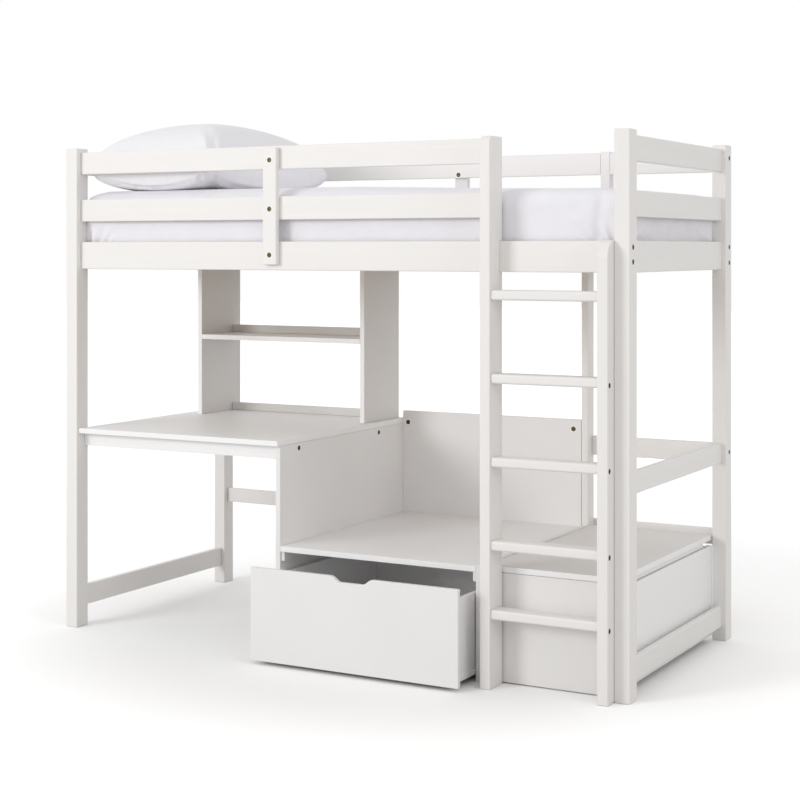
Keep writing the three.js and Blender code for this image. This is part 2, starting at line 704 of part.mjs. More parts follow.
function hutch() {
  const y = [hutchBackY - HUTCH_DEPTH, hutchBackY];
  const foot = DESK_HEIGHT + GAP;
  const z = [foot, SIDE_RAIL_BOTTOM + HUTCH_LAP];
  const insideX = [hutchLeftX[1] + GAP, hutchRightX[0] - GAP];
  const stripY = below(hutchBackY, STRIP_INSET, BOARD);
  const shelfZ = below(DESK_HEIGHT + SHELF_RISE, 0, BOARD);
  const shelf = panel("shelf", insideX, [y[0], stripY[1]], shelfZ);
  const lip = panel("lip", insideX, stripY, [shelfZ[1] - PANEL_EASE, shelfZ[1] + STRIP_HEIGHT]);
  return [
    panel("hutch_panel_left", hutchLeftX, y, z),
    panel("hutch_panel_right", hutchRightX, y, z),
    panel("hutch_desk_strip", insideX, stripY, [foot, foot + STRIP_HEIGHT]),
    joined("hutch_shelf", [shelf, lip], panelPaint),
  ];
}

function seat() {
  const x = [deskSideX[1] + GAP, storageSideX[0] - GAP];
  const backZ = [seatUnderside, SEAT_BACK_TOP];
  return [
    panel("seat_board", x, [panelFrontY, seatBackY[0] - GAP], [seatUnderside, SEAT_HEIGHT]),
    panel("seat_back_panel", x, seatBackY, backZ),
    timber("back_upright", uprightX, uprightY, [0, ledger[0] - GAP]),
  ];
}

// The hinge's knuckles, which take turns along the lid's left top edge.
function knuckles() {
  const start = lidY[0] + HINGE_END_INSET;
  const end = uprightY[0] - HINGE_END_INSET;
  const pitch = (end - start) / KNUCKLE_COUNT;
  return Array.from({ length: KNUCKLE_COUNT }, (_, i) => ({
    fixed: i % 2 === 1,
    y: [start + i * pitch + KNUCKLE_GAP / 2, start + (i + 1) * pitch - KNUCKLE_GAP / 2],
  }));
}

function knucklePin(y) {
  const x = [lidX[0], lidX[0]];
  return pin(x, y, LID_HEIGHT, KNUCKLE_RADIUS, KNUCKLE_SIDES, "y");
}

// The panel between seat and storage box, with the seat's cleat and the hinge's fixed half.
function storageSidePanel() {
  const backY = uprightY[0] - GAP;
  const body = panelWithCleat("storage_side_panel", storageSideX, -1, LID_HEIGHT, backY);
  const leafX = [storageSideX[1] - 2 * PANEL_EASE, lidX[0]];
  const leafZ = [LID_HEIGHT - PANEL_EASE - LEAF_THICKNESS, LID_HEIGHT - PANEL_EASE];
  const pieces = [body];
  for (const { y } of knuckles().filter((knuckle) => knuckle.fixed)) {
    const leaf = new THREE.Mesh(
      new THREE.BoxGeometry(leafX[1] - leafX[0], y[1] - y[0], leafZ[1] - leafZ[0]),
    );
    leaf.position.set(middle(leafX), middle(y), middle(leafZ));
    pieces.push(leaf, knucklePin(y));
  }
  return joined("storage_side_panel", pieces, panelPaint);
}

// The lid, with pockets around the fixed knuckles, its own knuckles and a rest batten below.
function storageLid() {
  let lid = solid(panel("lid", lidX, lidY, [lidUnderside, LID_HEIGHT]));
  for (const { fixed, y } of knuckles()) {
    if (!fixed) {
      lid = lid.add(solid(knucklePin(y)));
      continue;
    }
    const pocket = new THREE.Mesh(
      new THREE.BoxGeometry(2 * KNUCKLE_POCKET, y[1] - y[0] + KNUCKLE_GAP, 2 * KNUCKLE_POCKET),
    );
    pocket.position.set(lidX[0], middle(y), LID_HEIGHT);
    lid = lid.subtract(solid(pocket));
  }
  const restX = [boxEndX[0], boxEndX[1] - REST_SIDE_INSET];
  const restY = [lidY[0] + REST_FRONT_INSET, lidY[1] - REST_BACK_INSET];
  const restZ = [boxRim + REST_CLEARANCE, lidUnderside + PANEL_EASE];
  lid = lid.add(solid(panel("rest", restX, restY, restZ)));
  return meshOf("storage_lid", lid, panelPaint);
}

function storageBox() {
  const frontX = [storageSideX[1] + GAP, boxEndX[0] - GAP];
  const backX = [uprightX[1] + GAP, boxEndX[0] - GAP];
  const endY = [lidY[0], lidY[1] + BOX_BACK_REACH];
  const frontTop = lidUnderside - LID_FRONT_GAP;
  const floorY = [boxFrontY[1] + GAP, boxBackY[0] - GAP];
  const floorZ = above(BOX_FLOOR_HEIGHT, 0, BOX_FLOOR_THICKNESS);
  return [
    storageSidePanel(),
    panel("storage_front_panel", frontX, boxFrontY, [BOX_FRONT_CLEARANCE, frontTop]),
    panel("storage_back_panel", backX, boxBackY, [BOX_FRONT_CLEARANCE, boxRim]),
    panel("storage_end_panel", boxEndX, endY, [BOX_END_CLEARANCE, boxRim]),
    panel("storage_bottom", frontX, floorY, floorZ),
    storageLid(),
  ];
}

// The drawer's front, with a hand notch cut down from its top edge.
function drawerFront() {
  const x = [deskSideX[1] - DRAWER_OVERLAY, storageSideX[0] + DRAWER_OVERLAY];
  const centre = middle(x);
  const shape = new THREE.Shape();
  shape.moveTo(x[0], DRAWER_FRONT_BOTTOM);
  shape.lineTo(x[1], DRAWER_FRONT_BOTTOM);
  shape.lineTo(x[1], DRAWER_FRONT_TOP);
  shape.lineTo(centre + NOTCH_TOP_WIDTH / 2, DRAWER_FRONT_TOP);
  shape.lineTo(centre + NOTCH_BOTTOM_WIDTH / 2, DRAWER_FRONT_TOP - NOTCH_DEPTH);
  shape.lineTo(centre - NOTCH_BOTTOM_WIDTH / 2, DRAWER_FRONT_TOP - NOTCH_DEPTH);
  shape.lineTo(centre - NOTCH_TOP_WIDTH / 2, DRAWER_FRONT_TOP);
  shape.lineTo(x[0], DRAWER_FRONT_TOP);
  const mesh = new THREE.Mesh(acrossY(shape, drawerFrontY, PANEL_EASE), panelPaint);
  mesh.name = "drawer_front";
  mesh.position.y = middle(drawerFrontY);
  return mesh;
}

function wheelPlaces() {
  const left = drawerX[0] + WHEEL_SIDE_INSET;
  const right = drawerX[1] - WHEEL_SIDE_INSET;
  const front = drawerY[0] + WHEEL_END_INSET;
  const back = drawerY[1] - WHEEL_END_INSET;
  return [
    { name: "drawer_wheel_front_left", x: left, y: front },
    { name: "drawer_wheel_front_right", x: right, y: front },
    { name: "drawer_wheel_back_left", x: left, y: back },
    { name: "drawer_wheel_back_right", x: right, y: back },
  ];
}

// The drawer's floor, with a fork and an axle let into its underside for each wheel.
function drawerBottom() {
  const top = DRAWER_FLOOR_TOP;
  const floorZ = below(top, 0, DRAWER_FLOOR_THICKNESS);
  const floorY = [drawerY[0], drawerBackY[0] - GAP];
  const pieces = [panel("floor", drawerInnerX, floorY, floorZ)];
  const cheekZ = [WHEEL_RADIUS - CHEEK_DROP, floorZ[0] + CHEEK_BITE];
  const spread = WHEEL_WIDTH / 2 + CHEEK_GAP + CHEEK_THICKNESS / 2;
  for (const { x, y } of wheelPlaces()) {
    for (const side of [-1, 1]) {
      const cheekX = around(x + side * spread, CHEEK_THICKNESS);
      pieces.push(panel("cheek", cheekX, around(y, CHEEK_WIDTH), cheekZ));
    }
    const axleX = around(x, 2 * spread);
    pieces.push(pin(axleX, [y, y], WHEEL_RADIUS, AXLE_RADIUS, AXLE_SIDES, "x"));
  }
  return joined("drawer_bottom", pieces, panelPaint);
}

function drawerWheels() {
  const bore = AXLE_RADIUS + AXLE_PLAY;
  const half = WHEEL_WIDTH / 2;
  const profile = [
    new THREE.Vector2(bore, -half),
    new THREE.Vector2(WHEEL_RADIUS - WHEEL_EDGE, -half),
    new THREE.Vector2(WHEEL_RADIUS, WHEEL_EDGE - half),
    new THREE.Vector2(WHEEL_RADIUS, half - WHEEL_EDGE),
    new THREE.Vector2(WHEEL_RADIUS - WHEEL_EDGE, half),
    new THREE.Vector2(bore, half),
    new THREE.Vector2(bore, -half),
  ];
  return wheelPlaces().map(({ name, x, y }) => {
    const mesh = new THREE.Mesh(new THREE.LatheGeometry(profile, WHEEL_SIDES), wheelPlastic);
    mesh.name = name;
    mesh.rotation.z = -Math.PI / 2;
    mesh.position.set(x, y, WHEEL_RADIUS);
    return mesh;
  });
}

// A side of the drawer, with the board that runs along its foot.
function drawerSide(name, wallX, skirtX) {
  const wall = panel("wall", wallX, drawerY, [DRAWER_SKIRT_TOP - PANEL_EASE, DRAWER_WALL_TOP]);
  const skirt = panel("skirt", skirtX, drawerY, [DRAWER_SKIRT_BOTTOM, DRAWER_SKIRT_TOP]);
  return joined(name, [wall, skirt], panelPaint);
}

function drawer() {
  const backZ = [DRAWER_SKIRT_TOP, DRAWER_WALL_TOP];
  const leftSkirtX = [drawerLeftX[0] - DRAWER_SKIRT_REACH, drawerLeftX[1]];
  const rightSkirtX = [drawerRightX[0], drawerRightX[1] + DRAWER_SKIRT_REACH];
  const group = new THREE.Group();
  group.add(
    drawerFront(),
    drawerSide("drawer_side_left", drawerLeftX, leftSkirtX),
    drawerSide("drawer_side_right", drawerRightX, rightSkirtX),
    panel("drawer_back", drawerInnerX, drawerBackY, backZ),
    drawerBottom(),
    ...drawerWheels(),
  );
  group.position.y = -DRAWER_OPEN;
  return group;
}

// The whole bed stands with the middle of its footprint, drawer included, at the origin.
const bed = new THREE.Group();
bed.add(
  ...posts(),
  ...frontRails(),
  ...backRails(),
  ...endRails(),
  backShortPost(),
  ladderStileLong(),
  ladderStileShort(),
  ...ladderRungs(),
  slatMat(),
  mattress(),
  pillow(),
  ...desk(),
  ...hutch(),
  ...seat(),
  ...storageBox(),
  drawer(),
);
bed.position.y = -(halfDepth + drawerFrontY[0] - DRAWER_OPEN) / 2;

const loftBed = new THREE.Group();
loftBed.add(bed);

export default loftBed;
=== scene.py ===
import itertools
import math

import bmesh
import bpy
from mathutils import Matrix, Vector, noise


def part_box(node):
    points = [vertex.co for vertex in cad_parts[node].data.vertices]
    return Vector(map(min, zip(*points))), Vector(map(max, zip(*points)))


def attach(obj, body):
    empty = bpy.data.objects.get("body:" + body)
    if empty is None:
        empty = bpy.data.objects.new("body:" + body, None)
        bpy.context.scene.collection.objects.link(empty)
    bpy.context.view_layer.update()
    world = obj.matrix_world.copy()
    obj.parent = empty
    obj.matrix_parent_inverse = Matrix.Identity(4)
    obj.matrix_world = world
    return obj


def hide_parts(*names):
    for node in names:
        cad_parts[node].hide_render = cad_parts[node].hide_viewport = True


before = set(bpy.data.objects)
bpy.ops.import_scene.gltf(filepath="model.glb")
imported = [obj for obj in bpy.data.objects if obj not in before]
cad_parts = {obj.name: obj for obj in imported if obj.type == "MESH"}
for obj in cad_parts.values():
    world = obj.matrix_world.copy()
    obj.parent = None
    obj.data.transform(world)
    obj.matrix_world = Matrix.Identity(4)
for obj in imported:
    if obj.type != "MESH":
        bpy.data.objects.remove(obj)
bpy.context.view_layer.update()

# ---- The camera ----
# It stands in front and to the right of the bed, level, at the height of the sleeping deck. Its
# picture is shifted down, so that the posts stay upright.
bpy.ops.object.camera_add(location=(2.776, -5.1124, 1.3255))
bed_camera = bpy.context.active_object
bed_camera.name = "bed_camera"
bed_camera.rotation_euler = (math.radians(90), 0, math.radians(29.681))
bed_camera.data.sensor_width = 36
bed_camera.data.lens = 76.46
bed_camera.data.shift_x = 0.0625
bed_camera.data.shift_y = -0.1895
bpy.context.scene.camera = bed_camera

# ---- The studio ----
# A pale floor under a white sky, with one large soft lamp high on the left and a weak one on the
# right. The floor looks white to the camera, and keeps the shadow of the bed. Away from the lamps
# it gets less light, so its own tone rises there to stay white.
FLOOR_REACH = 60.0
FLOOR_FAR = 12.0
FLOOR_TONES = [(0.7, 1.02), (1.6, 1.27), (6.0, 1.50), (12.0, 1.50)]
FLOOR_BOUNCE = (0.64, 0.63, 0.62)
SKY_LIGHT = 0.75
LAMP_AIM = (0, 0, 0.9)


def link_nodes(tree, *links):
    for source, target in links:
        tree.links.new(source, target)


def seen_directly(tree):
    """1 for what the camera sees, straight or through a reflection or a clear piece."""
    path = tree.nodes.new("ShaderNodeLightPath")
    total = path.outputs["Is Camera Ray"]
    for also in ("Is Glossy Ray", "Is Transmission Ray"):
        add = tree.nodes.new("ShaderNodeMath")
        add.operation = "MAXIMUM"
        link_nodes(tree, (total, add.inputs[0]), (path.outputs[also], add.inputs[1]))
        total = add.outputs[0]
    return total


bpy.ops.mesh.primitive_plane_add(size=FLOOR_REACH, location=(0, 0, 0))
studio_floor = bpy.context.active_object
studio_floor.name = "studio_floor"
floor_finish = bpy.data.materials.new("studio_floor_white")
floor_finish.use_nodes = True
floor_tree = floor_finish.node_tree
floor_tree.nodes.clear()
floor_output = floor_tree.nodes.new("ShaderNodeOutputMaterial")
floor_matt = floor_tree.nodes.new("ShaderNodeBsdfDiffuse")
floor_tone = floor_tree.nodes.new("ShaderNodeMix")
floor_tone.data_type = "RGBA"
floor_tone.inputs["A"].default_value = (*FLOOR_BOUNCE, 1)
floor_place = floor_tree.nodes.new("ShaderNodeTexCoord")
floor_distance = floor_tree.nodes.new("ShaderNodeVectorMath")
floor_distance.operation = "LENGTH"
floor_share = floor_tree.nodes.new("ShaderNodeMath")
floor_share.operation = "DIVIDE"
floor_share.inputs[1].default_value = FLOOR_FAR
floor_shown = floor_tree.nodes.new("ShaderNodeValToRGB")
floor_shown.color_ramp.interpolation = "EASE"
for step, (distance, tone) in enumerate(FLOOR_TONES):
    if step > 1:
        floor_shown.color_ramp.elements.new(1)
    stop = floor_shown.color_ramp.elements[step]
    stop.position = distance / FLOOR_FAR
    stop.color = (tone, tone, tone, 1)
link_nodes(
    floor_tree,
    (floor_place.outputs["Object"], floor_distance.inputs[0]),
    (floor_distance.outputs["Value"], floor_share.inputs[0]),
    (floor_share.outputs[0], floor_shown.inputs["Fac"]),
    (floor_shown.outputs["Color"], floor_tone.inputs["B"]),
    (seen_directly(floor_tree), floor_tone.inputs["Factor"]),
    (floor_tone.outputs["Result"], floor_matt.inputs["Color"]),
    (floor_matt.outputs["BSDF"], floor_output.inputs["Surface"]),
)
studio_floor.data.materials.append(floor_finish)

studio_sky = bpy.data.worlds.new("studio_sky")
bpy.context.scene.world = studio_sky
studio_sky.use_nodes = True
sky_tree = studio_sky.node_tree
sky = sky_tree.nodes["Background"]
sky.inputs["Color"].default_value = (1, 1, 1, 1)
sky_strength = sky_tree.nodes.new("ShaderNodeMix")
sky_strength.data_type = "FLOAT"
sky_strength.inputs["A"].default_value = SKY_LIGHT
sky_strength.inputs["B"].default_value = 1.0
link_nodes(
    sky_tree,
    (seen_directly(sky_tree), sky_strength.inputs["Factor"]),
    (sky_strength.outputs["Result"], sky.inputs["Strength"]),
)


def soft_lamp(name, place, width, height, power):
    bpy.ops.object.light_add(type="AREA", location=place)
    lamp = bpy.context.active_object
    lamp.name = name
    lamp.data.shape = "RECTANGLE"
    lamp.data.size, lamp.data.size_y = width, height
    lamp.data.energy = power
    lamp.rotation_mode = "QUATERNION"
    lamp.rotation_quaternion = (Vector(LAMP_AIM) - Vector(place)).to_track_quat("-Z", "Y")


soft_lamp("window_lamp", (-4.2, -7.9, 3.1), 3.0, 2.6, 250)
soft_lamp("side_lamp", (7.0, -3.0, 2.6), 3.0, 3.0, 50)
bpy.context.scene.view_settings.view_transform = "Standard"

# ---- The four posts ----
# Solid pine posts, planed, sanded round at every edge and sprayed with white paint. The end rails
# are bolted through the right posts: each bolt's head sits in a small round seat.
BODY = "bed"
TIMBER_ROUND = 0.003
TIMBER_WHITE = (0.865, 0.845, 0.825)
ROUND_STEPS = 3
SMOOTH_ANGLE = math.radians(40)


def pick_only(piece):
    bpy.ops.object.select_all(action="DESELECT")
    piece.select_set(True)
    bpy.context.view_layer.objects.active = piece


def settle(piece):
    """Moves the piece's place, turn and scale into its mesh."""
    pick_only(piece)
    bpy.ops.object.transform_apply(location=True, rotation=True, scale=True)


def sawn_block(name, low, high):
    """A block between two corners, as it comes from the saw."""
    low, high = Vector(low), Vector(high)
    bpy.ops.object.select_all(action="DESELECT")
    bpy.ops.mesh.primitive_cube_add(size=1, location=(low + high) / 2)
    block = bpy.context.active_object
    block.name = name
    block.scale = high - low
    settle(block)
    return block


def edit_edges(piece, wanted, operation):
    """Runs an edit-mode operation on the edges whose two ends satisfy wanted."""
    pick_only(piece)
    bpy.ops.object.mode_set(mode="EDIT")
    bpy.ops.mesh.select_mode(type="EDGE")
    bpy.ops.mesh.select_all(action="DESELECT")
    shape = bmesh.from_edit_mesh(piece.data)
    for edge in shape.edges:
        edge.select_set(wanted(edge.verts[0].co, edge.verts[1].co))
    bmesh.update_edit_mesh(piece.data)
    operation()
    bpy.ops.object.mode_set(mode="OBJECT")


def every_edge(start, end):
    return True


def round_over(piece, radius, wanted=every_edge, steps=ROUND_STEPS):
    """Rounds the wanted edges as a router does."""
    edit_edges(
        piece,
        wanted,
        lambda: bpy.ops.mesh.bevel(offset=radius, segments=steps, affect="EDGES"),
    )


def finish_with(piece, kind, **settings):
    """Adds a modifier, sets it up and applies it."""
    pick_only(piece)
    modifier = piece.modifiers.new(kind.lower(), kind)
    for key, value in settings.items():
        setattr(modifier, key, value)
    bpy.ops.object.modifier_apply(modifier=modifier.name)


def cut_away(piece, cutter):
    """Takes the cutter's shape out of the piece, and throws the cutter away."""
    finish_with(piece, "BOOLEAN", operation="DIFFERENCE", solver="EXACT", object=cutter)
    bpy.data.objects.remove(cutter, do_unlink=True)


def sand_corners(piece, radius):
    """Rounds all the sharp edges that are left on a shaped piece."""
    finish_with(
        piece,
        "BEVEL",
        width=radius,
        segments=ROUND_STEPS,
        limit_method="ANGLE",
        angle_limit=SMOOTH_ANGLE,
    )


def smooth_faces(piece):
    """Rounded edges shade smoothly, and flat faces stay flat."""
    pick_only(piece)
    bpy.ops.object.shade_smooth_by_angle(angle=SMOOTH_ANGLE)
    finish_with(piece, "WEIGHTED_NORMAL", keep_sharp=True)


def fit_to_bed(piece, finish, slot, *nodes, body=BODY):
    """Paints the piece, and puts it on its body in place of the frame's nodes."""
    settle(piece)
    piece.data.materials.clear()
    piece.data.materials.append(finish)
    if nodes:
        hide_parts(*nodes)
    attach(piece, body)


def noise_layer(tree, scale, detail, stretch):
    """Noise on the piece's own coordinates, stretched along the grain."""
    coordinates = tree.nodes.new("ShaderNodeTexCoord")
    mapping = tree.nodes.new("ShaderNodeMapping")
    mapping.inputs["Scale"].default_value = stretch
    layer = tree.nodes.new("ShaderNodeTexNoise")
    layer.inputs["Scale"].default_value = scale
    layer.inputs["Detail"].default_value = detail
    link_nodes(
        tree,
        (coordinates.outputs["Object"], mapping.inputs["Vector"]),
        (mapping.outputs["Vector"], layer.inputs["Vector"]),
    )
    return layer.outputs["Fac"]


def between(tree, factor, low, high, start=0.35, end=0.65):
    """A number that runs from low to high with the factor."""
    spread = tree.nodes.new("ShaderNodeMapRange")
    spread.inputs["From Min"].default_value = start
    spread.inputs["From Max"].default_value = end
    spread.inputs["To Min"].default_value = low
    spread.inputs["To Max"].default_value = high
    link_nodes(tree, (factor, spread.inputs["Value"]))
    return spread.outputs["Result"]


def tone_between(tree, factor, dark, light):
    """A colour that runs from dark to light with the factor."""
    mix = tree.nodes.new("ShaderNodeMix")
    mix.data_type = "RGBA"
    mix.inputs["A"].default_value = (*dark, 1)
    mix.inputs["B"].default_value = (*light, 1)
    link_nodes(tree, (between(tree, factor, 0, 1), mix.inputs["Factor"]))
    return mix.outputs["Result"]


def relief(tree, shader, layers):
    """Small relief: each layer is a height factor with its depth in metres."""
    normal = None
    for height, depth in layers:
        bump = tree.nodes.new("ShaderNodeBump")
        bump.inputs["Strength"].default_value = 1.0
        bump.inputs["Distance"].default_value = depth
        link_nodes(tree, (height, bump.inputs["Height"]))
        if normal:
            link_nodes(tree, (normal, bump.inputs["Normal"]))
        normal = bump.outputs["Normal"]
    link_nodes(tree, (normal, shader.inputs["Normal"]))


def new_finish(name):
    finish = bpy.data.materials.new(name)
    finish.use_nodes = True
    return finish, finish.node_tree, finish.node_tree.nodes["Principled BSDF"]


def shaded(tone, share):
    return tuple(share * part for part in tone)


def timber_paint(name, grain):
    """Satin white paint on pine: a trace of the grain shows along the board."""
    finish, tree, paint = new_finish(name)
    fine_grain = noise_layer(tree, 1.0, 5, [6 if axis == grain else 260 for axis in "XYZ"])
    broad_grain = noise_layer(tree, 1.0, 3, [1.5 if axis == grain else 34 for axis in "XYZ"])
    spray = noise_layer(tree, 1400, 2, (1, 1, 1))
    tone = tone_between(tree, broad_grain, shaded(TIMBER_WHITE, 0.985), TIMBER_WHITE)
    link_nodes(
        tree,
        (tone, paint.inputs["Base Color"]),
        (between(tree, fine_grain, 0.38, 0.5), paint.inputs["Roughness"]),
    )
    paint.inputs["Specular IOR Level"].default_value = 0.4
    relief(tree, paint, [(broad_grain, 0.0001), (fine_grain, 0.00006), (spray, 0.00002)])
    return finish


timber_finish = {axis: timber_paint(f"timber_paint_along_{axis.lower()}", axis) for axis in "XYZ"}

# One bolt: a low round head with a six-sided key hole, in burnished bronze. It sits in a white
# nylon ring that is pressed into the timber.
BOLT_RADIUS = 0.0086
BOLT_HEAD = 0.003
BOLT_ROUND = 0.0009
KEY_RADIUS = 0.0038
KEY_DEPTH = 0.0024
RING_RADIUS = 0.0120
RING_HEIGHT = 0.0006
RING_FLOOR = 0.0006
RING_PLAY = 0.0001
RING_ROUND = 0.0004
SEAT_DEPTH = 0.003
FITTING_SIDES = 32
HAIR = 1e-5
TURN_TO = {
    "-Y": Matrix.Rotation(math.radians(90), 4, "X"),
    "+Y": Matrix.Rotation(math.radians(-90), 4, "X"),
    "+X": Matrix.Rotation(math.radians(90), 4, "Y"),
    "-X": Matrix.Rotation(math.radians(-90), 4, "Y"),
    "+Z": Matrix.Identity(4),
}


def round_bar(name, radius, length, sides, place=(0, 0, 0), facing="+Z"):
    bpy.ops.object.select_all(action="DESELECT")
    bpy.ops.mesh.primitive_cylinder_add(vertices=sides, radius=radius, depth=length)
    bar = bpy.context.active_object
    bar.name = name
    bar.matrix_world = Matrix.Translation(place) @ TURN_TO[facing]
    settle(bar)
    return bar


def fitting_finish(name, wear, dark, light, roughness, depth, metallic=0.0):
    """Metal or plastic whose tone, gloss and height follow one fine pattern of wear."""
    finish, tree, shader = new_finish(name)
    pattern = noise_layer(tree, *wear)
    link_nodes(
        tree,
        (tone_between(tree, pattern, dark, light), shader.inputs["Base Color"]),
        (between(tree, pattern, *roughness), shader.inputs["Roughness"]),
    )
    shader.inputs["Metallic"].default_value = metallic
    relief(tree, shader, [(pattern, depth)])
    return finish


bolt_bronze = fitting_finish(
    "bolt_bronze",
    (420, 4, (1, 1, 1)),
    (0.050, 0.038, 0.020),
    (0.125, 0.098, 0.052),
    (0.3, 0.5),
    0.00004,
    metallic=0.85,
)

bolt_pattern = round_bar(
    "bolt_pattern", BOLT_RADIUS, BOLT_HEAD, FITTING_SIDES, (0, 0, -BOLT_HEAD / 2)
)
round_over(bolt_pattern, BOLT_ROUND, lambda a, b: a.z > -0.0001 and b.z > -0.0001)
key_hole = round_bar("key_hole", KEY_RADIUS, 2 * KEY_DEPTH, 6)
cut_away(bolt_pattern, key_hole)
smooth_faces(bolt_pattern)
bolt_pattern.data.materials.append(bolt_bronze)

ring_nylon, nylon_tree, nylon = new_finish("ring_nylon")
nylon_grain = noise_layer(nylon_tree, 900, 3, (1, 1, 1))
nylon_tone = tone_between(nylon_tree, nylon_grain, (0.92, 0.92, 0.91), (0.96, 0.96, 0.95))
link_nodes(
    nylon_tree,
    (nylon_tone, nylon.inputs["Base Color"]),
    (between(nylon_tree, nylon_grain, 0.3, 0.4), nylon.inputs["Roughness"]),
)
ring_depth = SEAT_DEPTH - RING_PLAY
ring_pattern = round_bar(
    "ring_pattern",
    RING_RADIUS,
    ring_depth + RING_HEIGHT,
    FITTING_SIDES,
    (0, 0, (RING_HEIGHT - ring_depth) / 2),
)
ring_top = RING_HEIGHT - HAIR
round_over(ring_pattern, RING_ROUND, lambda a, b: min(a.z, b.z) > ring_top, steps=2)
head_hole = round_bar(
    "head_hole",
    BOLT_RADIUS + RING_PLAY,
    2 * (ring_depth - RING_FLOOR),
    FITTING_SIDES,
)
cut_away(ring_pattern, head_hole)
smooth_faces(ring_pattern)
ring_pattern.data.materials.append(ring_nylon)
bolt_numbers = itertools.count(1)


def set_copy(pattern, name, turn, body):
    """Sets one more copy of a piece in its place."""
    copy = pattern.copy()
    copy.data = pattern.data.copy()
    copy.name = name
    bpy.context.collection.objects.link(copy)
    copy.matrix_world = turn
    settle(copy)
    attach(copy, body)


def seat_bolt(piece, place, facing, body=BODY):
    """Bores a seat into the piece's face, and sets a ring and a bolt in it."""
    turn = Matrix.Translation(place) @ TURN_TO[facing]
    seat_radius = RING_RADIUS + RING_PLAY
    cut_away(piece, round_bar("seat", seat_radius, 2 * SEAT_DEPTH, FITTING_SIDES, place, facing))
    number = next(bolt_numbers)
    set_copy(ring_pattern, f"bolt_ring_{number:02d}", turn, body)
    head_lift = Matrix.Translation((0, 0, BOLT_HEAD - ring_depth + RING_FLOOR + HAIR))
    set_copy(bolt_pattern, f"bolt_{number:02d}", turn @ head_lift, body)


def board(node, grain, radius=TIMBER_ROUND, bolts=(), facing="+X"):
    """A rounded and painted timber in the place of a node, with its bolts."""
    piece = sawn_block(f"painted_{node}", *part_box(node))
    round_over(piece, radius)
    for place in bolts:
        seat_bolt(piece, place, facing)
    smooth_faces(piece)
    fit_to_bed(piece, timber_finish[grain], "timber_paint", node)
    return piece


post_outer_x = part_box("post_front_right")[1].x
RIGHT_FRONT_BOLTS = [(-0.400, 1.329), (-0.400, 1.286)]
RIGHT_BACK_BOLTS = [(0.530, 1.631), (0.530, 1.330), (0.530, 1.277), (0.530, 0.635)]
board("post_front_left", "Z")
board("post_back_left", "Z")
board("post_front_right", "Z", bolts=[(post_outer_x, y, z) for y, z in RIGHT_FRONT_BOLTS])
board("post_back_right", "Z", bolts=[(post_outer_x, y, z) for y, z in RIGHT_BACK_BOLTS])

# ---- The side rails and front guard rails ----
# Pine rails between the posts, 20 mm thick. Each side rail has a square ledger glued along its
# inner face for the slats, and the upright batten is bolted across the front rails.
BATTEN_X = -0.1975
BATTEN_BOLTS = [1.614, 1.454, 1.304]
LEDGER_DEPTH = 0.020
LEDGER_HEIGHT = 0.020
LEDGER_LIFT = 0.036
LEDGER_ROUND = 0.002
LEDGER_BITE = 0.001


def side_rail(node, side):
    """A rail with its ledger, which lies on the rail's inner face."""
    low, high = (Vector(corner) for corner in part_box(node))
    if side < 0:
        rail_box = (low, Vector((high.x, high.y - LEDGER_DEPTH, high.z)))
        ledger_y = (rail_box[1].y - LEDGER_BITE, high.y)
    else:
        rail_box = (Vector((low.x, low.y + LEDGER_DEPTH, low.z)), high)
        ledger_y = (low.y, rail_box[0].y + LEDGER_BITE)
    rail = sawn_block(f"painted_{node}", *rail_box)
    round_over(rail, TIMBER_ROUND)
    smooth_faces(rail)
    fit_to_bed(rail, timber_finish["X"], "timber_paint", node)
    ledger_z = (low.z + LEDGER_LIFT, low.z + LEDGER_LIFT + LEDGER_HEIGHT)
    ledger = sawn_block(
        node.replace("side_rail", "slat_ledger"),
        (low.x, ledger_y[0], ledger_z[0]),
        (high.x, ledger_y[1], ledger_z[1]),
    )
    round_over(ledger, LEDGER_ROUND)
    smooth_faces(ledger)
    fit_to_bed(ledger, timber_finish["X"], "timber_paint")


side_rail("front_side_rail", -1)
side_rail("back_side_rail", 1)
board("front_guard_rail_top", "X")
board("front_guard_rail_middle", "X")
batten_front_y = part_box("front_guard_batten")[0].y
board(
    "front_guard_batten",
    "Z",
    bolts=[(BATTEN_X, batten_front_y, z) for z in BATTEN_BOLTS],
    facing="-Y",
)

# ---- The back rails, short post and upright ----
# The back has a guard rail in two lengths with a short post between them, which is notched over
# the side rail. A batten outside ties its left half, and an upright carries its middle.
BACK_BATTEN_BOLT = (0.028, 1.596)
guard_rail_front_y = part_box("back_guard_rail_top")[0].y
board(
    "back_guard_rail_top",
    "X",
    bolts=[(BACK_BATTEN_BOLT[0], guard_rail_front_y, BACK_BATTEN_BOLT[1])],
    facing="-Y",
)
board("back_guard_rail_top_short", "X")
board("back_guard_rail_middle", "X")
board("back_guard_batten", "Z")
board("back_low_rail", "X")
board("back_cross_rail", "X")
board("back_upright", "Z")

NOTCH_PLAY = 0.0003
CUT_PAST = 0.01
SCREW_RADIUS = 0.0022
SCREW_DEPTH = 0.004


def drill_screw_holes(piece, places, facing):
    """Bores small screw holes into a face of the piece."""
    for place in places:
        hole = round_bar("screw_hole", SCREW_RADIUS, 2 * SCREW_DEPTH, 16, place, facing)
        cut_away(piece, hole)


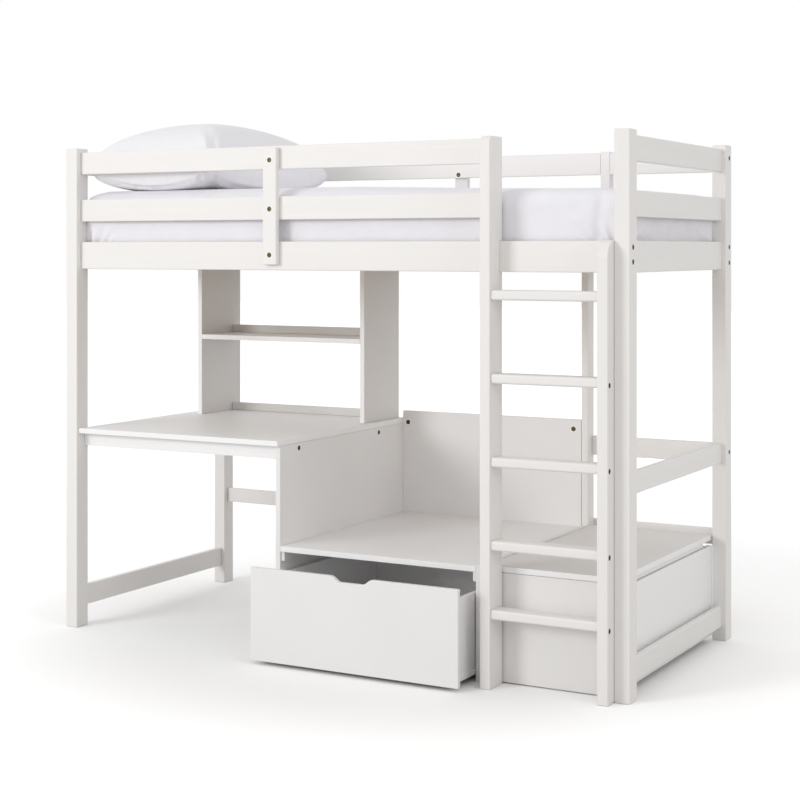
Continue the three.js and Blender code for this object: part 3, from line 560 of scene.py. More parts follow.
def notched_timber(node, notches, grain="Z", front_round=0.0, bolts=(), screws=()):
    """An upright with notches, bolts and screw holes, and its front top edge rounded."""
    low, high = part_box(node)
    piece = sawn_block(f"painted_{node}", low, high)
    if front_round:
        round_over(
            piece,
            front_round,
            lambda a, b: min(a.z, b.z) > high.z - 1e-4 and max(a.y, b.y) < low.y + 1e-4,
            steps=8,
        )
    for notch_low, notch_high in notches:
        cut_away(piece, sawn_block("notch", notch_low, notch_high))
    sand_corners(piece, TIMBER_ROUND)
    for place in bolts:
        seat_bolt(piece, place, "+X")
    drill_screw_holes(piece, screws, "+X")
    smooth_faces(piece)
    fit_to_bed(piece, timber_finish[grain], "timber_paint", node)
    return piece


short_low, short_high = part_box("back_short_post")
back_rail_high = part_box("back_side_rail")[1]
notched_timber(
    "back_short_post",
    [
        (
            (short_low.x - CUT_PAST, short_low.y - CUT_PAST, short_low.z - CUT_PAST),
            (
                short_high.x + CUT_PAST,
                back_rail_high.y + NOTCH_PLAY,
                back_rail_high.z + NOTCH_PLAY,
            ),
        )
    ],
)

# ---- The end rails ----
# Three pine rails close each end of the sleeping deck. Each end has one more near the floor, and the
# right end also has a cross rail above the storage box.
for end_rail in (
    "left_end_rail_top",
    "left_end_rail_middle",
    "left_end_rail_bed",
    "right_end_rail_top",
    "right_end_rail_middle",
    "right_end_rail_bed",
    "left_low_rail",
    "right_low_rail",
    "right_cross_rail",
):
    board(end_rail, "Y")

# ---- The ladder ----
# Two stiles stand in front of the bed. The long one is notched over the side rail and reaches the
# top guard rail, and the short one stops above the deck. Five rungs with rounded edges join them.
LONG_STILE_ROUND = 0.020
SHORT_STILE_ROUND = 0.052
RUNG_ROUND = 0.007
RUNG_END_ROUND = 0.0012
STILE_BOLT_Y = -0.4645
STILE_BOLTS = [0.928, 0.679, 0.429, 0.216]
STILE_SCREW_FROM_BACK = 0.007
STILE_SCREWS_FROM_TOP = (0.088, 0.262)

stile_low, stile_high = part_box("ladder_stile_long")
front_rail_low, front_rail_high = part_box("front_side_rail")
notched_timber(
    "ladder_stile_long",
    [
        (
            (
                stile_low.x - CUT_PAST,
                front_rail_low.y - NOTCH_PLAY,
                front_rail_low.z - NOTCH_PLAY,
            ),
            (
                stile_high.x + CUT_PAST,
                stile_high.y + CUT_PAST,
                front_rail_high.z + NOTCH_PLAY,
            ),
        )
    ],
    front_round=LONG_STILE_ROUND,
    screws=[
        (stile_high.x, stile_high.y - STILE_SCREW_FROM_BACK, stile_high.z - drop)
        for drop in STILE_SCREWS_FROM_TOP
    ],
)
short_stile_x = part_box("ladder_stile_short")[1].x
notched_timber(
    "ladder_stile_short",
    [],
    front_round=SHORT_STILE_ROUND,
    bolts=[(short_stile_x, STILE_BOLT_Y, z) for z in STILE_BOLTS],
)


def along_x(start, end):
    return abs(start.x - end.x) > 0.1


for step in range(1, 6):
    rung_node = f"ladder_rung_{step}"
    rung = sawn_block(f"painted_{rung_node}", *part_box(rung_node))
    round_over(rung, RUNG_ROUND, along_x, steps=5)
    sand_corners(rung, RUNG_END_ROUND)
    smooth_faces(rung)
    fit_to_bed(rung, timber_finish["X"], "timber_paint", rung_node)

# ---- The slats ----
# Fifteen bare pine slats lie across the ledgers. Two woven tapes stapled under them keep them
# evenly apart.
SLAT_COUNT = 15
SLAT_WIDTH = 0.068
SLAT_TAPE = 0.001
SLAT_ROUND = 0.0025
TAPE_OFFSET = 0.230
TAPE_WIDTH = 0.025
TAPE_ROUND = 0.0004
GLUE_LAP = 0.0002

slat_pine, pine_tree, pine = new_finish("slat_pine")
pine_grain = noise_layer(pine_tree, 1.0, 6, (190, 5, 190))
pine_rings = noise_layer(pine_tree, 1.0, 2, (28, 1.2, 28))
pine_tone = tone_between(pine_tree, pine_rings, (0.56, 0.36, 0.17), (0.72, 0.52, 0.30))
link_nodes(
    pine_tree,
    (pine_tone, pine.inputs["Base Color"]),
    (between(pine_tree, pine_grain, 0.55, 0.75), pine.inputs["Roughness"]),
)
relief(pine_tree, pine, [(pine_grain, 0.00012), (pine_rings, 0.0001)])

mat_low, mat_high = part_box("slat_mat")
slat_low_z = mat_low.z + SLAT_TAPE
slat_pattern = sawn_block(
    "slat_01",
    (mat_low.x, mat_low.y, slat_low_z),
    (mat_low.x + SLAT_WIDTH, mat_high.y, mat_high.z),
)
round_over(slat_pattern, SLAT_ROUND)
smooth_faces(slat_pattern)
fit_to_bed(slat_pattern, slat_pine, "slat_wood", "slat_mat")
slat_pitch = (mat_high.x - mat_low.x - SLAT_WIDTH) / (SLAT_COUNT - 1)
for index in range(1, SLAT_COUNT):
    shift = Matrix.Translation((index * slat_pitch, 0, 0))
    set_copy(slat_pattern, f"slat_{index + 1:02d}", shift, BODY)

tape_weave, tape_tree, tape_cloth = new_finish("slat_tape_weave")
tape_cloth.inputs["Roughness"].default_value = 0.9
tape_ribs = tape_tree.nodes.new("ShaderNodeTexWave")
tape_ribs.inputs["Scale"].default_value = 160
tape_ribs.inputs["Distortion"].default_value = 0.6
tape_place = tape_tree.nodes.new("ShaderNodeTexCoord")
link_nodes(
    tape_tree,
    (tape_place.outputs["Object"], tape_ribs.inputs["Vector"]),
    (tone_between(tape_tree, tape_ribs.outputs["Fac"], (0.62, 0.60, 0.56), (0.74, 0.72, 0.68)),
     tape_cloth.inputs["Base Color"]),
)
relief(tape_tree, tape_cloth, [(tape_ribs.outputs["Fac"], 0.0002)])
mat_middle_y = (mat_low.y + mat_high.y) / 2
for side, tape_name in ((-1, "slat_tape_front"), (1, "slat_tape_back")):
    tape_y = mat_middle_y + side * TAPE_OFFSET
    tape = sawn_block(
        tape_name,
        (mat_low.x + SLAT_WIDTH / 2, tape_y - TAPE_WIDTH / 2, mat_low.z),
        (mat_high.x - SLAT_WIDTH / 2, tape_y + TAPE_WIDTH / 2, slat_low_z + GLUE_LAP),
    )
    round_over(tape, TAPE_ROUND)
    smooth_faces(tape)
    fit_to_bed(tape, tape_weave, "slat_wood")

# ---- The desk ----
# A white painted panel desk between the left posts: a top, an apron under its front edge, and a
# side panel that also closes the seat. Three tones of paint follow the photo and carry painted light
# and shade: a whiter paint is painted light on the tops, the drawer's inside and some edges, the
# boards keep the plain white, and a darker paint is painted shade on the shelf unit and the lid.
PANEL_ROUND = 0.0016
# The plain white of the boards, then a whiter paint that is painted light, then a darker paint that
# is painted shade.
BOARD_WHITE = (0.865, 0.85, 0.84)
PAINTED_LIGHT_WHITE = (0.94, 0.935, 0.935)
PAINTED_SHADE_WHITE = (0.775, 0.755, 0.735)
CLEAT_WIDTH = 0.013


def panel_paint(name, white):
    """Sprayed satin paint on smooth board."""
    finish, tree, paint = new_finish(name)
    cloudy = noise_layer(tree, 5, 3, (1, 1, 1))
    spray = noise_layer(tree, 900, 2, (1, 1, 1))
    waves = noise_layer(tree, 60, 2, (1, 1, 1))
    tone = tone_between(tree, cloudy, shaded(white, 0.985), white)
    link_nodes(
        tree,
        (tone, paint.inputs["Base Color"]),
        (between(tree, cloudy, 0.42, 0.5), paint.inputs["Roughness"]),
    )
    paint.inputs["Specular IOR Level"].default_value = 0.4
    relief(tree, paint, [(waves, 0.00006), (spray, 0.00002)])
    return finish


board_finish = panel_paint("panel_paint_boards", BOARD_WHITE)
painted_light_finish = panel_paint("panel_paint_with_painted_light", PAINTED_LIGHT_WHITE)


def panel_piece(
    name,
    low,
    high,
    *nodes,
    bolts=(),
    screws=(),
    facing="+X",
    finish=board_finish,
    body=BODY,
):
    """A painted board with softened edges, bolts and screw holes."""
    piece = sawn_block(name, low, high)
    round_over(piece, PANEL_ROUND)
    for place in bolts:
        seat_bolt(piece, place, facing, body)
    drill_screw_holes(piece, screws, facing)
    smooth_faces(piece)
    fit_to_bed(piece, finish, "panel_paint", *nodes, body=body)
    return piece


def paint_edge_highlights(board_piece, *facings):
    """Gives the board's edges that face the given ways the whiter painted-light finish: a painted
    highlight on those edges.
    """
    board_piece.data.materials.append(painted_light_finish)
    for face in board_piece.data.polygons:
        if any(face.normal.dot(Vector(facing)) > 0.7 for facing in facings):
            face.material_index = 1


def panel(node, body=BODY, **more):
    return panel_piece(f"painted_{node}", *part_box(node), node, body=body, **more)


desk_side_low, desk_side_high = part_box("desk_side_panel")
desk_side_x = desk_side_high.x - CLEAT_WIDTH
DESK_SIDE_BOLTS = [(-0.2835, 0.6615), (0.270, 0.6615)]
# The desk top and its apron get the whiter paint: painted light on them.
panel("desk_top", finish=painted_light_finish)
panel("desk_front_apron", finish=painted_light_finish)
panel_piece(
    "painted_desk_side_panel",
    desk_side_low,
    (desk_side_x, desk_side_high.y, desk_side_high.z),
    "desk_side_panel",
    bolts=[(desk_side_x, y, z) for y, z in DESK_SIDE_BOLTS],
)

# ---- The shelf unit on the desk ----
# Two side panels stand on the desk's back and lap the side rail. A shelf with a lip at its back
# joins them, and a low strip lies along the desk between their feet.
SHELF_THICKNESS = 0.018
# The shelf unit gets the darker paint: painted shade for its place under the sleeping deck.
painted_shade_finish = panel_paint("panel_paint_with_painted_shade", PAINTED_SHADE_WHITE)
TO_FRONT = (0, -1, 0)
TO_RIGHT = (1, 0, 0)
panel("hutch_desk_strip", finish=painted_shade_finish)
shelf_low, shelf_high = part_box("hutch_shelf")
shelf_top = shelf_low.z + SHELF_THICKNESS
shelf_middle = shelf_low.z + SHELF_THICKNESS / 2
SCREW_FROM_BACK = 0.024
SCREW_FROM_FRONT = 0.014
LEFT_SCREW_HEIGHTS = (0.885, 1.120)
RIGHT_SCREW_HEIGHT = 1.100
screw_back_y = shelf_high.y - SCREW_FROM_BACK
hutch_left_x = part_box("hutch_panel_left")[1].x
hutch_right_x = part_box("hutch_panel_right")[1].x
hutch_screws = {
    "hutch_panel_left": [(hutch_left_x, screw_back_y, z) for z in LEFT_SCREW_HEIGHTS],
    "hutch_panel_right": [
        (hutch_right_x, shelf_low.y + SCREW_FROM_FRONT, shelf_middle),
        (hutch_right_x, screw_back_y, shelf_middle),
        (hutch_right_x, screw_back_y, RIGHT_SCREW_HEIGHT),
    ],
}
# The uprights' front edges get the whiter paint as a painted highlight, and their faces the darker
# paint as painted shade.
for upright, screws in hutch_screws.items():
    paint_edge_highlights(panel(upright, finish=painted_shade_finish, screws=screws), TO_FRONT)
shelf = panel_piece(
    "painted_hutch_shelf",
    shelf_low,
    (shelf_high.x, shelf_high.y, shelf_top),
    "hutch_shelf",
    finish=painted_shade_finish,
)
# The shelf's front edge gets a painted highlight in the whiter paint.
paint_edge_highlights(shelf, TO_FRONT)
panel_piece(
    "shelf_lip",
    (shelf_low.x, shelf_high.y - SHELF_THICKNESS, shelf_top - GLUE_LAP),
    shelf_high,
    finish=painted_shade_finish,
)

# ---- The seat ----
# A seat board rests on two glued cleats, on the desk's side panel and on the storage box, and a
# back panel stands behind it. Its bolts are the last ones, so their patterns go.
CLEAT_TOP = 0.3337
CLEAT_HEIGHT = 0.030
CLEAT_END_GAP = 0.006
seat_low, seat_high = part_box("seat_board")
seat_back_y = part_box("seat_back_panel")[0].y
storage_side_low, storage_side_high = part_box("storage_side_panel")
SEAT_BACK_BOLTS = [(-0.150, 0.683), (0.505, 0.692)]
# The seat board gets the whiter paint: painted light on its top.
panel("seat_board", finish=painted_light_finish)
panel(
    "seat_back_panel",
    bolts=[(x, seat_back_y, z) for x, z in SEAT_BACK_BOLTS],
    facing="-Y",
)
for pattern in (bolt_pattern, ring_pattern):
    bpy.data.objects.remove(pattern, do_unlink=True)
cleat_y = (seat_low.y + CLEAT_END_GAP, seat_high.y - CLEAT_END_GAP)
panel_piece(
    "seat_cleat_left",
    (desk_side_x - GLUE_LAP, cleat_y[0], CLEAT_TOP - CLEAT_HEIGHT),
    (desk_side_high.x, cleat_y[1], CLEAT_TOP),
)
panel_piece(
    "seat_cleat_right",
    (storage_side_low.x, cleat_y[0], CLEAT_TOP - CLEAT_HEIGHT),
    (storage_side_low.x + CLEAT_WIDTH + GLUE_LAP, cleat_y[1], CLEAT_TOP),
)

# ---- The storage box and its lid ----
# A painted panel box beside the seat. Its lid turns on a metal hinge along its left edge, and has
# a batten below its right edge that rests on the box's end panel.
LID_THICKNESS = 0.018
STORAGE_SIDE_THICKNESS = 0.018
LID_ROUND = 0.0012
KNUCKLE_RADIUS = 0.0025
KNUCKLE_COUNT = 5
KNUCKLE_GAP = 0.0006
KNUCKLE_ROUND = 0.0004
FIXED_KNUCKLES = (1, 3)
HINGE_END_INSET = 0.045
HINGE_POCKET = 0.0035
LEAF_LAP = 0.0016
LEAF_FOOT = 0.0020
LEAF_TOP = 0.0008
LEAF_ROUND = 0.0003
REST_FRONT_INSET = 0.024
REST_BACK_INSET = 0.064
REST_SIDE_INSET = 0.007
lid_low, lid_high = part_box("storage_lid")
storage_side_x = storage_side_low.x + CLEAT_WIDTH
panel_piece(
    "painted_storage_side_panel",
    (storage_side_x, storage_side_low.y, storage_side_low.z),
    (
        storage_side_x + STORAGE_SIDE_THICKNESS,
        storage_side_high.y,
        lid_high.z - KNUCKLE_RADIUS,
    ),
    "storage_side_panel",
)
for box_panel in ("storage_front_panel", "storage_back_panel", "storage_bottom"):
    panel(box_panel)
# The end panel gets the whiter paint: painted light on its outer face.
panel("storage_end_panel", finish=painted_light_finish)

lid = sawn_block(
    "painted_storage_lid",
    (lid_low.x + KNUCKLE_RADIUS, lid_low.y, lid_high.z - KNUCKLE_RADIUS - LID_THICKNESS),
    (lid_high.x, lid_high.y, lid_high.z - KNUCKLE_RADIUS),
)
hinge_x = lid_low.x + KNUCKLE_RADIUS
hinge_z = lid_high.z - KNUCKLE_RADIUS
hinge_start = lid_low.y + HINGE_END_INSET
hinge_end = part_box("back_upright")[0].y - HINGE_END_INSET
knuckle_pitch = (hinge_end - hinge_start) / KNUCKLE_COUNT
knuckle_length = knuckle_pitch - KNUCKLE_GAP
for index in FIXED_KNUCKLES:
    pocket_y = hinge_start + index * knuckle_pitch
    pocket = sawn_block(
        "pocket",
        (hinge_x - HINGE_POCKET, pocket_y, hinge_z - HINGE_POCKET),
        (hinge_x + HINGE_POCKET, pocket_y + knuckle_pitch, hinge_z + HINGE_POCKET),
    )
    cut_away(lid, pocket)
sand_corners(lid, LID_ROUND)
smooth_faces(lid)
# The lid gets the darker paint: painted shade on its top.
fit_to_bed(lid, painted_shade_finish, "panel_paint", "storage_lid", body="lid")
# The lid's front and right edges get the whiter paint: a painted highlight on those edges.
paint_edge_highlights(lid, TO_FRONT, TO_RIGHT)

storage_end_low, storage_end_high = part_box("storage_end_panel")
panel_piece(
    "lid_rest_batten",
    (storage_end_low.x, lid_low.y + REST_FRONT_INSET, lid_low.z),
    (
        storage_end_high.x - REST_SIDE_INSET,
        lid_high.y - REST_BACK_INSET,
        hinge_z - LID_THICKNESS + GLUE_LAP,
    ),
    body="lid",
)

hinge_steel = fitting_finish(
    "hinge_steel",
    (700, 3, (1, 0.1, 1)),
    (0.52, 0.52, 0.52),
    (0.62, 0.62, 0.61),
    (0.28, 0.42),
    0.00002,
    metallic=1.0,
)
for index in range(KNUCKLE_COUNT):
    knuckle_y = hinge_start + (index + 0.5) * knuckle_pitch
    fixed = index in FIXED_KNUCKLES
    knuckle = round_bar(
        f"hinge_knuckle_{index + 1}",
        KNUCKLE_RADIUS,
        knuckle_length,
        24,
        (hinge_x, knuckle_y, hinge_z),
        "+Y",
    )
    sand_corners(knuckle, KNUCKLE_ROUND)
    smooth_faces(knuckle)
    fit_to_bed(knuckle, hinge_steel, None, body=BODY if fixed else "lid")
    if fixed:
        leaf = sawn_block(
            f"hinge_leaf_{index + 1}",
            (
                storage_side_x + STORAGE_SIDE_THICKNESS - LEAF_LAP,
                knuckle_y - knuckle_length / 2,
                hinge_z - LEAF_FOOT,
            ),
            (hinge_x, knuckle_y + knuckle_length / 2, hinge_z - LEAF_TOP),
        )
        round_over(leaf, LEAF_ROUND)
        smooth_faces(leaf)
        fit_to_bed(leaf, hinge_steel, None)

# ---- The drawer ----
# A deep painted drawer that rolls on the floor under the seat, shown partly open. Its front has a
# hand notch in its top edge, and four hard wheels turn in forks screwed to its floor.
DRAWER = "drawer"
NOTCH_TOP = 0.138
NOTCH_FOOT = 0.089
NOTCH_DEPTH = 0.018
NOTCH_ROUND = 0.006
SKIRT_TOP = 0.038
SKIRT_REACH = 0.002
DRAWER_FLOOR = 0.020
front_low, front_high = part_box("drawer_front")
front_middle = (front_low.x + front_high.x) / 2
drawer_front = sawn_block("painted_drawer_front", front_low, front_high)
notch_reach = 2 * NOTCH_TOP - NOTCH_FOOT
notch = sawn_block(
    "notch",
    (front_middle - notch_reach / 2, front_low.y - CUT_PAST, front_high.z - NOTCH_DEPTH),
    (front_middle + notch_reach / 2, front_high.y + CUT_PAST, front_high.z + NOTCH_DEPTH),
)

pick_only(notch)
bpy.ops.object.mode_set(mode="EDIT")
bpy.ops.mesh.select_all(action="DESELECT")
notch_shape = bmesh.from_edit_mesh(notch.data)
for corner in notch_shape.verts:
    corner.select_set(corner.co.z < front_high.z)
notch_shape.select_flush_mode()
bmesh.update_edit_mesh(notch.data)
bpy.ops.transform.resize(
    value=(NOTCH_FOOT / notch_reach, 1, 1),
    center_override=(front_middle, 0, 0),
)
bpy.ops.object.mode_set(mode="OBJECT")
cut_away(drawer_front, notch)


def at_notch_corner(start, end):
    lengthwise = abs(start.y - end.y) > 0.5 * (front_high.y - front_low.y)
    return lengthwise and abs(start.x - front_middle) < NOTCH_TOP / 2 + 0.001


round_over(drawer_front, NOTCH_ROUND, at_notch_corner, steps=5)
sand_corners(drawer_front, PANEL_ROUND)
smooth_faces(drawer_front)
fit_to_bed(drawer_front, board_finish, "panel_paint", "drawer_front", body=DRAWER)
# The drawer's back, sides, skirts and floor get the whiter paint: painted light that brightens the
# drawer's shaded inside.
panel("drawer_back", finish=painted_light_finish, body=DRAWER)
for side_name, left_reach, right_reach in (
    ("drawer_side_left", SKIRT_REACH, 0),
    ("drawer_side_right", 0, SKIRT_REACH),
):
    side_low, side_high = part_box(side_name)
    panel_piece(
        f"painted_{side_name}",
        (side_low.x + left_reach, side_low.y, SKIRT_TOP - GLUE_LAP),
        (side_high.x - right_reach, side_high.y, side_high.z),
        side_name,
        finish=painted_light_finish,
        body=DRAWER,
    )
    panel_piece(
        f"skirt_of_{side_name}",
        side_low,
        (side_high.x, side_high.y, SKIRT_TOP),
        finish=painted_light_finish,
        body=DRAWER,
    )
floor_low, floor_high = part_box("drawer_bottom")
panel_piece(
    "painted_drawer_bottom",
    (floor_low.x, floor_low.y, floor_high.z - DRAWER_FLOOR),
    floor_high,
    "drawer_bottom",
    finish=painted_light_finish,
    body=DRAWER,
)

WHEEL_RADIUS = 0.022
WHEEL_WIDTH = 0.018
AXLE_RADIUS = 0.004
AXLE_PLAY = 0.0004
AXLE_ROUND = 0.0005
WHEEL_ROUND = 0.0008
WHEEL_INSETS = ((0.0055, 0), (0.0012, -0.0025), (0.0075, 0), (0.0006, 0.0020))
CHEEK = 0.003
CHEEK_WIDTH = 0.026
CHEEK_PLAY = 0.0008
CHEEK_ROUND = 0.010
CHEEK_EDGE = 0.0004
CHEEK_BITE = 0.0005
fork_grey = fitting_finish(
    "fork_grey",
    (300, 4, (1, 1, 1)),
    (0.42, 0.42, 0.43),
    (0.55, 0.55, 0.55),
    (0.35, 0.5),
    0.00004,
    metallic=0.9,
)
wheel_black = fitting_finish(
    "wheel_black",
    (180, 4, (1, 1, 1)),
    (0.035, 0.035, 0.037),
    (0.06, 0.06, 0.062),
    (0.45, 0.65),
    0.00005,
)


def end_faces_picked(piece):
    """Goes into edit mode with the two round end faces of a wheel picked."""
    pick_only(piece)
    bpy.ops.object.mode_set(mode="EDIT")
    bpy.ops.mesh.select_mode(type="FACE")
    bpy.ops.mesh.select_all(action="DESELECT")
    shape = bmesh.from_edit_mesh(piece.data)
    for face in shape.faces:
        face.select_set(len(face.verts) > 8)
    bmesh.update_edit_mesh(piece.data)


for place in ("front_left", "front_right", "back_left", "back_right"):
    wheel_node = f"drawer_wheel_{place}"
    wheel_low, wheel_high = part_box(wheel_node)
    hub = (wheel_low + wheel_high) / 2
    wheel = round_bar(f"moulded_{wheel_node}", WHEEL_RADIUS, WHEEL_WIDTH, 48, hub, "+X")
    end_faces_picked(wheel)
    for thickness, depth in WHEEL_INSETS:
        bpy.ops.mesh.inset(thickness=thickness, depth=depth)
    bpy.ops.object.mode_set(mode="OBJECT")
    cut_away(wheel, round_bar("bore", AXLE_RADIUS + AXLE_PLAY, 2 * WHEEL_WIDTH, 32, hub, "+X"))
    sand_corners(wheel, WHEEL_ROUND)
    smooth_faces(wheel)
    fit_to_bed(wheel, wheel_black, "wheel_plastic", wheel_node, body=f"wheel_{place}")
    cheek_offset = WHEEL_WIDTH / 2 + CHEEK_PLAY
    for side, cheek_name in ((-1, "left"), (1, "right")):
        near, far = sorted((hub.x + side * cheek_offset, hub.x + side * (cheek_offset + CHEEK)))
        cheek = sawn_block(
            f"fork_{place}_{cheek_name}",
            (near, hub.y - CHEEK_WIDTH / 2, floor_low.z),
            (far, hub.y + CHEEK_WIDTH / 2, floor_high.z - DRAWER_FLOOR + CHEEK_BITE),
        )
        round_over(
            cheek,
            CHEEK_ROUND,
            lambda a, b: max(a.z, b.z) < floor_low.z + 0.001 and abs(a.x - b.x) > 0.001,
            steps=8,
        )
        sand_corners(cheek, CHEEK_EDGE)
        smooth_faces(cheek)
        fit_to_bed(cheek, fork_grey, None, body=DRAWER)
    axle_length = 2 * (cheek_offset + CHEEK)
    axle = round_bar(f"axle_{place}", AXLE_RADIUS, axle_length, 32, hub, "+X")
    sand_corners(axle, AXLE_ROUND)
    smooth_faces(axle)
    fit_to_bed(axle, fork_grey, None, body=DRAWER)

# ---- The mattress ----
# A foam mattress in a stretched cotton sheet, lying on the slats. The sheet is drawn in under the
# mattress, so it gathers at the bottom of each corner and pulls in soft folds along the sides.
MATTRESS_CELL = 0.014
MATTRESS_EDGE = 0.18
MATTRESS_CROWN = 0.018
CROWN_REACH = 0.090
CROWN_START = 0.5
CROWN_FADE = 1.4
FOOT_CROWN_LOSS = 0.014
SINK_START = 0.2
SINK_FADE = 1.2
FOOT_SINK = 0.055
MATTRESS_CORNER = 0.036
BOTTOM_ROUND = 0.024
TOP_ROUND = 0.034
SHEET_STAND_OFF = 0.0015
HEAD_PRESS = 0.003
SIDE_BAND = 0.03
CORNER_BLEND = 0.06
GATHER_REACH = 0.15
GATHER_HEIGHT = 0.085
GATHER_PITCH = 0.026
GATHER_DEPTH = 0.0075
GATHER_SPREAD = 1.6
GATHER_FADE = 1.4
GATHER_DRAW = 0.6
WANDER = 0.35
WANDER_SCALE = 14
FOLD_DEPTH = 0.005
FOLD_SCALE = 5.5
FOLD_SCALE_UP = 9
FOLD_SLANT = 0.5
TUCK_INSET = 0.062
TUCK_LEAN = 0.10
TUCK_WIDTH = 0.016
TUCK_DEPTH = 0.008
THREAD_DEPTH = 0.00004
CREASE_RELIEF = 0.0008
FUZZ_RELIEF = 0.00008
COVER_STEPS = 20


def cotton(name, light, dark, thread):
    """Plain woven cotton: crossed threads, with faint creases left by the wash."""
    finish, tree, cloth = new_finish(name)
    place = tree.nodes.new("ShaderNodeTexCoord")
    heights = []
    for axis in "XYZ":
        threads = tree.nodes.new("ShaderNodeTexWave")
        threads.bands_direction = axis
        threads.inputs["Scale"].default_value = 0.314 / thread
        threads.inputs["Distortion"].default_value = 0.4
        link_nodes(tree, (place.outputs["Object"], threads.inputs["Vector"]))
        heights.append((threads.outputs["Fac"], THREAD_DEPTH))
    creases = noise_layer(tree, 22, 5, (1, 1, 1))
    fuzz = noise_layer(tree, 700, 2, (1, 1, 1))
    link_nodes(
        tree,
        (tone_between(tree, creases, dark, light), cloth.inputs["Base Color"]),
        (between(tree, fuzz, 0.85, 0.95), cloth.inputs["Roughness"]),
    )
    cloth.inputs["Specular IOR Level"].default_value = 0.2
    cloth.inputs["Sheen Weight"].default_value = 0.15
    cloth.inputs["Sheen Roughness"].default_value = 0.5
    relief(tree, cloth, [(creases, CREASE_RELIEF), (fuzz, FUZZ_RELIEF), *heights])
    return finish


def even_skin(piece, cell):
    """Covers the form with small even faces, so that it can fold anywhere."""
    finish_with(piece, "REMESH", mode="VOXEL", voxel_size=cell, use_smooth_shade=True)


def fill_cover(piece, pressure, slack, reach):
    """Fills a slack cloth cover, and keeps each point near where it started."""
    start = [point.co.copy() for point in piece.data.vertices]
    pick_only(piece)
    cover = piece.modifiers.new("cover", "CLOTH")
    cover.settings.quality = 4
    cover.settings.mass = 0.2
    cover.settings.use_pressure = True
    cover.settings.uniform_pressure_force = pressure
    cover.settings.shrink_min = -slack
    cover.settings.tension_stiffness = 12
    cover.settings.compression_stiffness = 12
    cover.settings.bending_stiffness = 0.3
    cover.settings.effector_weights.gravity = 0
    cover.collision_settings.use_collision = False
    for moment in range(1, COVER_STEPS + 1):
        bpy.context.scene.frame_set(moment)
    bpy.ops.object.modifier_apply(modifier=cover.name)
    bpy.context.scene.frame_set(1)
    for point, home in zip(piece.data.vertices, start):
        step = point.co - home
        if step.length > reach:
            point.co = home + step * (reach / step.length)
    return start


mattress_low, mattress_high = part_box("mattress")
sheet_low = mattress_low + Vector((-HEAD_PRESS, SHEET_STAND_OFF, 0))
sheet_high = mattress_high - Vector((SHEET_STAND_OFF, SHEET_STAND_OFF, MATTRESS_CROWN))
mattress = sawn_block("dressed_mattress", sheet_low, sheet_high)
round_over(mattress, MATTRESS_CORNER, lambda a, b: abs(a.z - b.z) > 0.1, steps=6)
sheet_top = sheet_high.z - 1e-4
sheet_foot = sheet_low.z + 1e-4
round_over(mattress, TOP_ROUND, lambda a, b: min(a.z, b.z) > sheet_top, steps=6)
round_over(mattress, BOTTOM_ROUND, lambda a, b: max(a.z, b.z) < sheet_foot, steps=5)
even_skin(mattress, MATTRESS_CELL)
fill_cover(mattress, 1.5, 0.03, 0.006)
finish_with(mattress, "SUBSURF", levels=1, render_levels=1)

mattress_middle = (sheet_low + sheet_high) / 2
half_x = (sheet_high.x - sheet_low.x) / 2
half_y = (sheet_high.y - sheet_low.y) / 2


def ease(share):
    """A soft step from 0 to 1."""
    share = min(1.0, max(0.0, share))
    return share * share * (3 - 2 * share)


def gather(out_x, out_y, height):
    """Depth of the gathers that fan up from a bottom corner of the sheet."""
    to_corner = Vector((half_x - abs(out_x), half_y - abs(out_y)))
    along = to_corner.x - to_corner.y
    spread = 1 + GATHER_SPREAD * height / GATHER_HEIGHT
    fade = ease(1 - abs(along) / (GATHER_REACH * (0.6 + 0.4 * spread)))
    lift = ease(1 - height / (GATHER_HEIGHT * GATHER_FADE))
    wander = WANDER * noise.noise(Vector((out_x, out_y, height)) * WANDER_SCALE)
    wave = math.cos(2 * math.pi * (along / (GATHER_PITCH * spread) + wander))
    return fade * lift * (wave - GATHER_DRAW)


for point in mattress.data.vertices:
    out_x = point.co.x - mattress_middle.x
    out_y = point.co.y - mattress_middle.y
    height = point.co.z - sheet_low.z
    inset = min(half_x - abs(out_x), half_y - abs(out_y))
    footward = ease((out_x + CROWN_START) / CROWN_FADE)
    crown = (MATTRESS_CROWN - footward * FOOT_CROWN_LOSS) * ease((inset - 0.012) / CROWN_REACH)
    point.co.z += crown * ease(height / MATTRESS_EDGE)
    point.co.z -= FOOT_SINK * height * ease((out_x + SINK_START) / SINK_FADE)
    side = ease(1 - inset / SIDE_BAND)
    if side <= 0:
        continue
    outward = Vector((0, 0, 0))
    if half_x - abs(out_x) < CORNER_BLEND:
        outward.x = math.copysign(1 - (half_x - abs(out_x)) / CORNER_BLEND, out_x)
    if half_y - abs(out_y) < CORNER_BLEND:
        outward.y = math.copysign(1 - (half_y - abs(out_y)) / CORNER_BLEND, out_y)
    if outward.length < 1e-6:
        continue
    outward.normalize()
    upright = ease(height / 0.03) * ease((MATTRESS_EDGE - height) / 0.05)
    slanted_x = out_x + FOLD_SLANT * point.co.z
    drag = Vector((slanted_x * FOLD_SCALE, out_y * FOLD_SCALE, point.co.z * FOLD_SCALE_UP))
    fold = FOLD_DEPTH * noise.noise(drag) * upright
    depth = GATHER_DEPTH * gather(out_x, out_y, height)
    edge_fade = ease(height / 0.012)
    tuck = (half_x - out_x - TUCK_INSET - TUCK_LEAN * (MATTRESS_EDGE - height)) / TUCK_WIDTH
    dent = TUCK_DEPTH * math.exp(-tuck * tuck) * ease(height / 0.03)
    point.co += outward * side * (fold + depth * edge_fade - dent)

